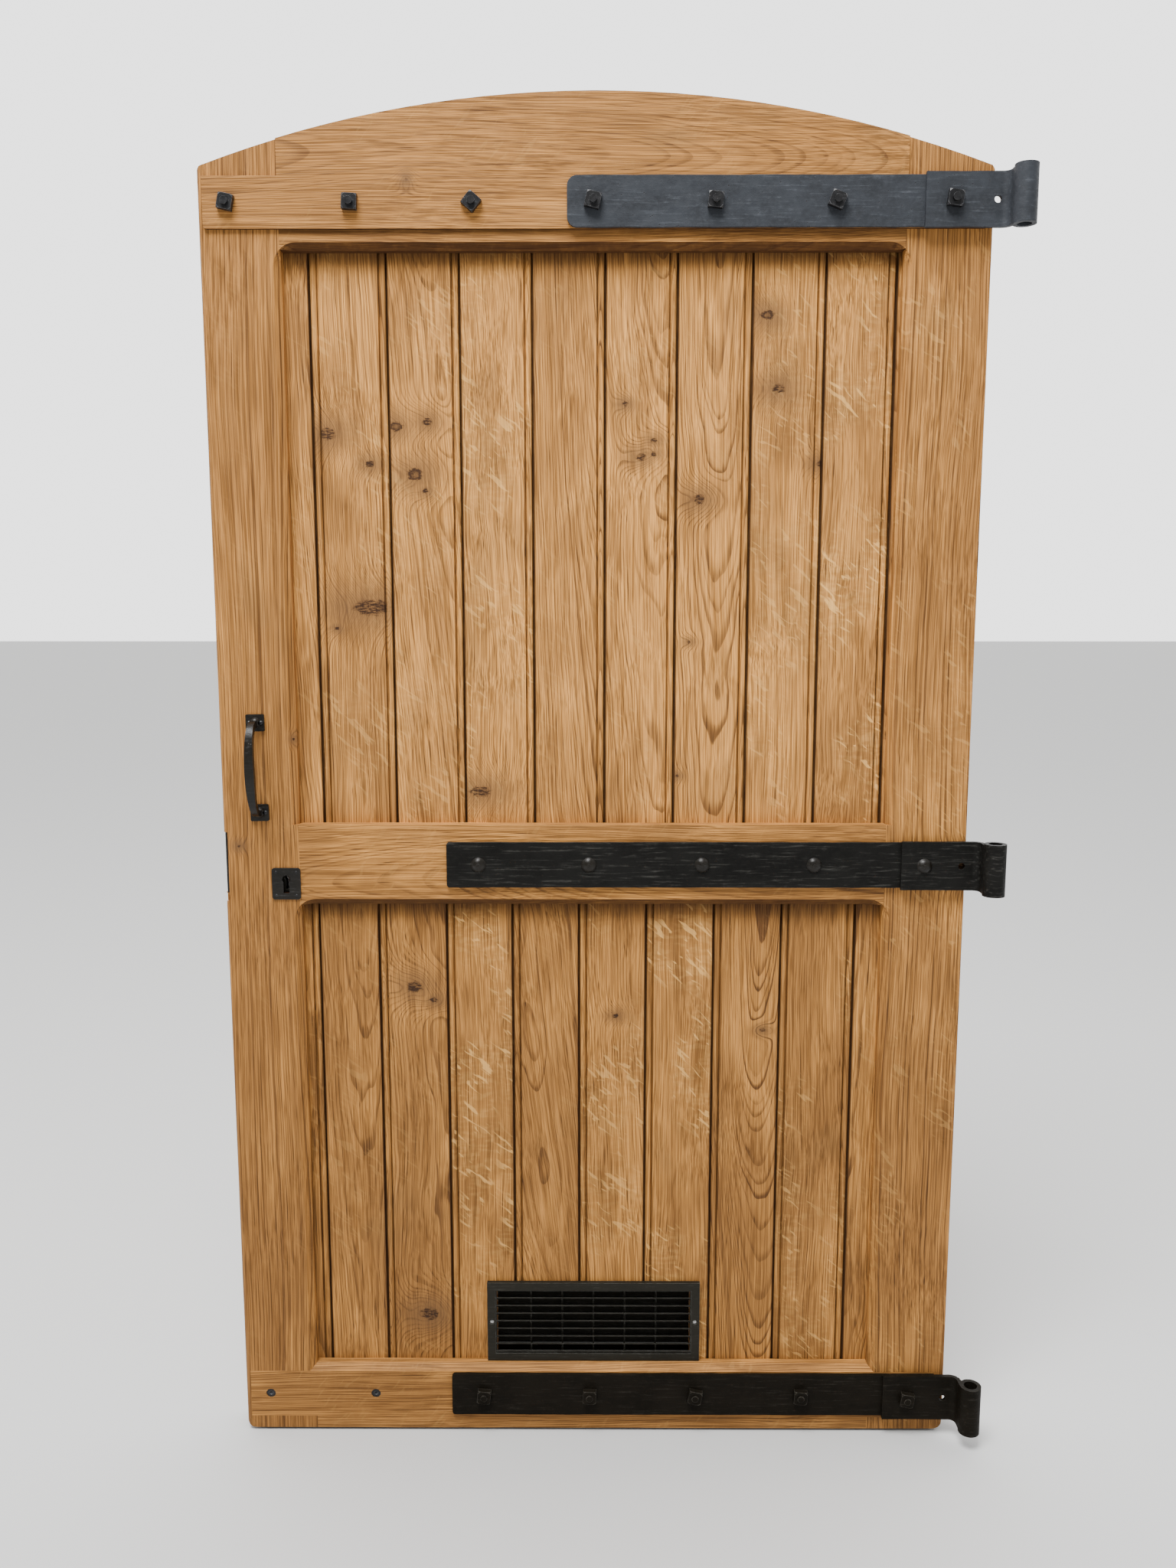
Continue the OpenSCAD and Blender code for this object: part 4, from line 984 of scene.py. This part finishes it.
@dataclass
class Joinery:
    """The oak: five frame pieces and the boards of the two panels.

    frame_ease and board_ease round their edges. keyhole is the place across, the height and the
    radius of the keyhole, inside which shade is painted dark on the wood, and top_ledge the height
    of the ledge on the top rail, below which shade is painted.
    """

    oak: OakFinish
    frame_ease: float = 0.8 * MM
    board_ease: float = 0.4 * MM
    keyhole: tuple[float, ...] = (-1.0015, 0.7893, 0.0175)
    top_ledge: float = 1.6825

    def frame_figures(self) -> dict[str, OakFigure]:
        """How each piece of the frame was sawn.

        Returns:
            A figure for each CAD node of the frame.
        """
        return {
            "lock_stile": OakFigure(
                seed=11.0, pith_across=-0.16, pith_deep=0.02, pith_tilt=0.004, ring=0.0050, fleck=0.05,
                contrast=1.10, tone=0.16, warm=0.40, wave=0.25, hole=self.keyhole,
                knots=(Knot(-0.032, -0.023, 0.0032), Knot(0.050, 0.130, 0.0030, 0.6))),
            "hinge_stile": OakFigure(
                seed=23.0, pith_across=0.19, pith_deep=0.03, pith_tilt=0.005, ring=0.0048, fleck=0.28,
                contrast=1.10, tone=0.30, warm=0.35, wave=0.45,
                # this knot's dark core, behind the spare hole of the middle eye plate, is a painted shade
                # inside that hole
                knots=(Knot(0.0485, -0.0503, 0.0075),)),
            "top_rail": OakFigure(
                grain=Grain.LEVEL, seed=31.0, pith_across=0.02, pith_deep=0.09, pith_tilt=0.035,
                ring=0.0021, fleck=0.08, contrast=0.70, tone=0.06, warm=0.35, wave=0.22,
                ledge=self.top_ledge, knots=(Knot(-0.012, 0.25, 0.0030),)),
            "middle_rail": OakFigure(
                grain=Grain.LEVEL, seed=43.0, pith_across=-0.03, pith_deep=0.05, pith_tilt=-0.045,
                ring=0.0024, fleck=0.10, contrast=0.80, tone=0.34, warm=0.25, wave=0.35,
                hole=self.keyhole),
            "bottom_rail": OakFigure(
                grain=Grain.LEVEL, seed=53.0, pith_across=0.10, pith_deep=0.03, pith_tilt=0.03,
                ring=0.0026, fleck=0.12, contrast=0.90, tone=0.24, warm=0.12, wave=0.35),
        }

    def upper_figures(self) -> list[OakFigure]:
        """How the upper boards were sawn.

        Returns:
            Their figures, from the lock side.
        """
        plain = board_figures([0.34, 0.48, 0.60, 0.68, 0.62, 0.64, 0.62, 0.60, 0.34, 0.30], 101, 0.15)
        changes = {
            1: dict(pith_across=0.13, pith_tilt=0.03, wave=0.7, fleck=0.35, knots=(
                Knot(-0.035, 0.153, 0.0085), Knot(0.019, -0.084, 0.0105, 2.4), Knot(-0.030, -0.113, 0.0030),
                Knot(0.021, 0.113, 0.0050))),
            2: dict(pith_across=0.03, pith_tilt=0.03, contrast=0.8, fleck=0.35, slant=0.05, knots=(
                Knot(-0.043, 0.163, 0.0070, eye=True), Knot(0.000, 0.169, 0.0055),
                Knot(-0.018, 0.098, 0.0085, eye=True), Knot(-0.004, 0.076, 0.0035))),
            3: dict(pith_across=0.14, fleck=0.65, contrast=0.7, wave=1.2,
                    knots=(Knot(-0.032, -0.345, 0.0080, 1.9),)),
            4: dict(pith_across=0.060, pith_deep=0.055, pith_tilt=0.05, contrast=1.15, fleck=0.10, wave=0.6,
                    slant=0.03),
            5: dict(pith_across=0.03, pith_deep=0.09, pith_tilt=0.03, fleck=0.18, wave=0.9, knots=(
                Knot(-0.003, 0.122, 0.0055), Knot(0.015, 0.144, 0.0038), Knot(0.015, 0.126, 0.0034),
                Knot(-0.025, 0.193, 0.0034))),
            6: dict(pith_across=0.01, pith_deep=0.06, pith_tilt=0.04, contrast=1.15, fleck=0.08, knots=(
                Knot(-0.022, 0.065, 0.0065), Knot(-0.034, -0.132, 0.0026), Knot(-0.049, -0.323, 0.0026))),
            7: dict(pith_across=0.12, fleck=0.45, contrast=0.7, knots=(
                Knot(-0.033, 0.310, 0.0068, eye=True), Knot(-0.016, 0.213, 0.0068),
                Knot(0.045, 0.113, 0.0050))),
            8: dict(pith_across=0.22, fleck=1.0, contrast=0.6, wave=1.1),
        }
        return [replace(figure, **changes.get(i, {})) for i, figure in enumerate(plain)]

    def lower_figures(self) -> list[OakFigure]:
        """How the lower boards were sawn.

        Returns:
            Their figures, from the lock side.
        """
        plain = board_figures([0.24, 0.36, 0.30, 0.46, 0.50, 0.52, 0.50, 0.38, 0.32, 0.28], 211, 0.28)
        changes = {
            1: dict(pith_tilt=0.03, contrast=0.9),
            2: dict(pith_across=0.03, fleck=0.12, wave=1.1, knots=(
                Knot(-0.002, 0.230, 0.0085), Knot(0.026, 0.210, 0.0045), Knot(0.012, -0.285, 0.0100))),
            3: dict(pith_across=0.15, fleck=1.0, contrast=0.65),
            4: dict(pith_across=-0.02, pith_tilt=0.02, contrast=0.9, fleck=0.08, slant=0.10),
            5: dict(pith_across=0.09, fleck=0.65, contrast=0.8, knots=(Knot(0.002, 0.125, 0.0040),)),
            6: dict(pith_across=0.15, fleck=1.0, contrast=0.65),
            7: dict(pith_across=0.03, pith_deep=0.045, pith_tilt=0.06, contrast=1.25, fleck=0.05, wave=0.5,
                    knots=(Knot(0.022, 0.165, 0.0034),)),
            8: dict(pith_across=0.10, fleck=0.65, contrast=0.9, pith_tilt=0.03),
        }
        return [replace(figure, **changes.get(i, {})) for i, figure in enumerate(plain)]

    def build(self) -> None:
        """Makes and dresses every piece of oak."""
        for node, figure in self.frame_figures().items():
            self._piece(node, figure, self.frame_ease)
        for panel, figures, rail in (("upper", self.upper_figures(), "top_rail"),
                                     ("lower", self.lower_figures(), "middle_rail")):
            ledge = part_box(rail)[0].z
            for number, figure in enumerate(figures, start=1):
                node = f"{panel}_board_{number}"
                low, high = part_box(node)
                right = high.x - (TONGUE if number < len(figures) else -TONGUE)
                # each board gets a painted shadow below the rail above it
                figure = replace(figure, shadow_line=ledge, edges=(low.x, right))
                self._piece(node, figure, self.board_ease)

    def _piece(self, node: str, figure: OakFigure, ease: float) -> None:
        """Makes one piece of oak with its own figure.

        Args:
            node: the CAD node it stands for.
            figure: how it was sawn.
            ease: how far its edges are rounded, in metres.
        """
        low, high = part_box(node)
        finish = self.oak.material(f"oak_{node}", figure, (low + high) / 2)
        refined(node, f"{node}_oak", finish, ease)


# ----------------------------------------------------------------- ironwork


@dataclass
class HingeIron:
    """The three strap hinges: straps and eye plates."""

    slate: bpy.types.Material
    black: bpy.types.Material
    brown: bpy.types.Material
    eye_fade: float = -45 * MM

    def build(self) -> None:
        """Makes the straps and the plates with the rolled eyes."""
        rows = (("top", self.slate, "slate_iron"), ("middle", self.black, "black_iron"),
                ("bottom", self.brown, "black_iron"))
        for number, (row, finish, slot) in enumerate(rows, start=1):
            strap = Forging(seed=40 * number)
            plate = Forging(seed=40 * number + 10, stop=self.eye_fade)
            forged(f"{row}_strap", f"{row}_strap_forged", finish, strap)
            forged(f"{row}_eye_plate", f"{row}_eye_plate_forged", finish, plate)


@dataclass
class Fixings:
    """Bolts, nuts and screws."""

    iron: bpy.types.Material
    middle_iron: bpy.types.Material
    foot_iron: bpy.types.Material

    def build(self) -> None:
        """Makes every fixing on the hinges and the foot."""
        for row, finish in (("top", self.iron), ("middle", self.middle_iron), ("bottom", self.foot_iron)):
            refined(f"{row}_nuts", f"{row}_nuts_forged", finish, 1.1 * MM, 3)
            refined(f"{row}_bolts", f"{row}_bolts_forged", finish, 1.0 * MM, 3)
        refined("foot_screws", "foot_screws_turned", self.iron, 0.5 * MM)


@dataclass
class Furniture:
    """The pull handle, the escutcheons and the vents."""

    waxed: bpy.types.Material
    fixing: bpy.types.Material
    vent: bpy.types.Material

    def build(self) -> None:
        """Makes the handle, the plates of the lock and the vents."""
        for node, finish, ease in (
            ("front_escutcheon", self.waxed, 0.5), ("rear_escutcheon", self.waxed, 0.5),
            ("forend", self.waxed, 0.4), ("handle_screws", self.fixing, 0.3),
            ("escutcheon_pins", self.fixing, 0.15),
        ):
            refined(node, f"{node}_worn", finish, ease * MM)
        refined("pull_handle", "pull_handle_forged", self.waxed, 1.0 * MM, 3)
        for node in ("vent_grille", "rear_vent_grille"):
            refined(node, f"{node}_painted", self.vent, 0.35 * MM)


# ------------------------------------------------------------------ the scene


@dataclass
class Studio:
    """A pale floor, soft lights and the camera.

    camera_at is in metres, and lens and sensor are in millimetres. floor_gap keeps the floor clear
    of the leaf. The sides of the lights are in metres and their powers in watts. dim and bright are
    how strong the surroundings are in front of the door and behind it.
    """

    camera_at: tuple[float, float, float] = (-0.5619, -1.7357, 1.1897)
    camera_down_deg: float = 8.164
    camera_left_deg: float = 0.233
    lens: float = 29.004
    sensor: float = 36.0
    floor_gap: float = 0.004
    floor_reach: float = 40.0
    key_side: float = 2.4
    key_power: float = 600.0
    fill_side: float = 2.2
    fill_power: float = 12.0
    dim: float = 0.36
    bright: float = 2.6

    def build(self) -> None:
        """Makes the floor, the world, the lights and the camera."""
        low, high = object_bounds()
        self._floor(low.z - self.floor_gap)
        self._world()
        middle = (low + high) / 2
        above = Vector((middle.x, middle.y, middle.z + 0.35))
        key_at = (middle.x - 0.9, -2.1, high.z + 3.8)
        fill_at = (middle.x + 2.4, -2.6, middle.z + 0.5)
        self._soft_light("key", key_at, above, self.key_side, self.key_power)
        self._soft_light("fill", fill_at, middle, self.fill_side, self.fill_power)
        data = bpy.data.cameras.new("camera")
        data.lens = self.lens
        data.sensor_width = self.sensor
        camera = bpy.data.objects.new("camera", data)
        camera.location = self.camera_at
        tilt, turn = math.radians(90 - self.camera_down_deg), math.radians(self.camera_left_deg)
        camera.rotation_euler = (tilt, 0.0, turn)
        bpy.context.scene.collection.objects.link(camera)
        bpy.context.scene.camera = camera

    def _floor(self, level: float) -> None:
        """Makes the floor.

        Args:
            level: its height, in metres.
        """
        reach = self.floor_reach
        mesh = bpy.data.meshes.new("floor")
        mesh.from_pydata([(-reach, -reach, level), (reach, -reach, level), (reach, reach, level),
                          (-reach, reach, level)], [], [(0, 1, 2, 3)])
        floor = bpy.data.objects.new("floor", mesh)
        bpy.context.scene.collection.objects.link(floor)
        paint = bpy.data.materials.new("floor_paint")
        paint.use_nodes = True
        shader = paint.node_tree.nodes["Principled BSDF"]
        shader.inputs["Base Color"].default_value = (0.50, 0.50, 0.495, 1.0)
        shader.inputs["Roughness"].default_value = 0.9
        mesh.materials.append(paint)
        floor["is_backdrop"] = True

    def _world(self) -> None:
        """Makes surroundings that are bright behind the door and dimmer in front of it."""
        world = bpy.data.worlds.new("studio")
        bpy.context.scene.world = world
        world.use_nodes = True
        s = Sheet(world.node_tree)
        sky = world.node_tree.nodes["Background"]
        way = s.add("SeparateXYZ", {0: s.add("TexCoord").outputs["Generated"]}).outputs
        lit = s.sum("MULTIPLY_ADD", way[2], 0.25, way[1])
        s.put(sky.inputs["Color"], (1.0, 1.0, 1.0))
        s.put(sky.inputs["Strength"], s.span(lit, -0.40, 0.40, self.dim, self.bright))

    def _soft_light(self, name: str, place: tuple[float, float, float], aim: Vector, side: float,
                    power: float) -> None:
        """Makes one square soft light aimed at a point.

        Args:
            name: its name.
            place: where it stands.
            aim: what it points at.
            side: the length of its side, in metres.
            power: its power, in watts.
        """
        data = bpy.data.lights.new(name, "AREA")
        data.size = side
        data.energy = power
        light = bpy.data.objects.new(name, data)
        light.location = place
        light.rotation_euler = (aim - Vector(place)).to_track_quat("-Z", "Y").to_euler()
        bpy.context.scene.collection.objects.link(light)


def slot_of(node: str) -> str:
    """The record's material slot of a CAD node."""
    return next(row["material_slot"] for row in frame["record"]["subparts"] if row["node"] == node)


def dress_the_rest(finishes: dict[str, bpy.types.Material]) -> None:
    """Gives every CAD node that is still shown the finish of its slot.

    Args:
        finishes: the finish of each of the record's material slots.
    """
    for node, piece in frame["nodes"].items():
        if not piece.hide_render:
            piece.data.materials.clear()
            piece.data.materials.append(finishes[slot_of(node)])


def main() -> None:
    """Builds the leaf's pieces in order, then the studio round it."""
    logging.basicConfig(level=logging.INFO, format="%(name)s %(message)s")
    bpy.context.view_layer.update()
    Joinery(OakFinish()).build()
    slate, black, brown = SLATE_IRON.material(), BLACK_IRON.material(), BROWN_IRON.material()
    fixing, waxed, vent = FIXING_IRON.material(), WAXED_IRON.material(), VENT_COAT.material()
    steel, brass = BRIGHT_STEEL.material(), LEVER_BRASS.material()
    HingeIron(slate, black, brown).build()
    Fixings(fixing, waxed, brown).build()
    Furniture(waxed, fixing, vent).build()
    dress_the_rest({"fixing_iron": fixing, "furniture_iron": waxed, "lock_steel": vent,
                    "bright_steel": steel, "lever_brass": brass, "vent_paint": vent})
    Studio().build()


if __name__ == "__main__":
    main()
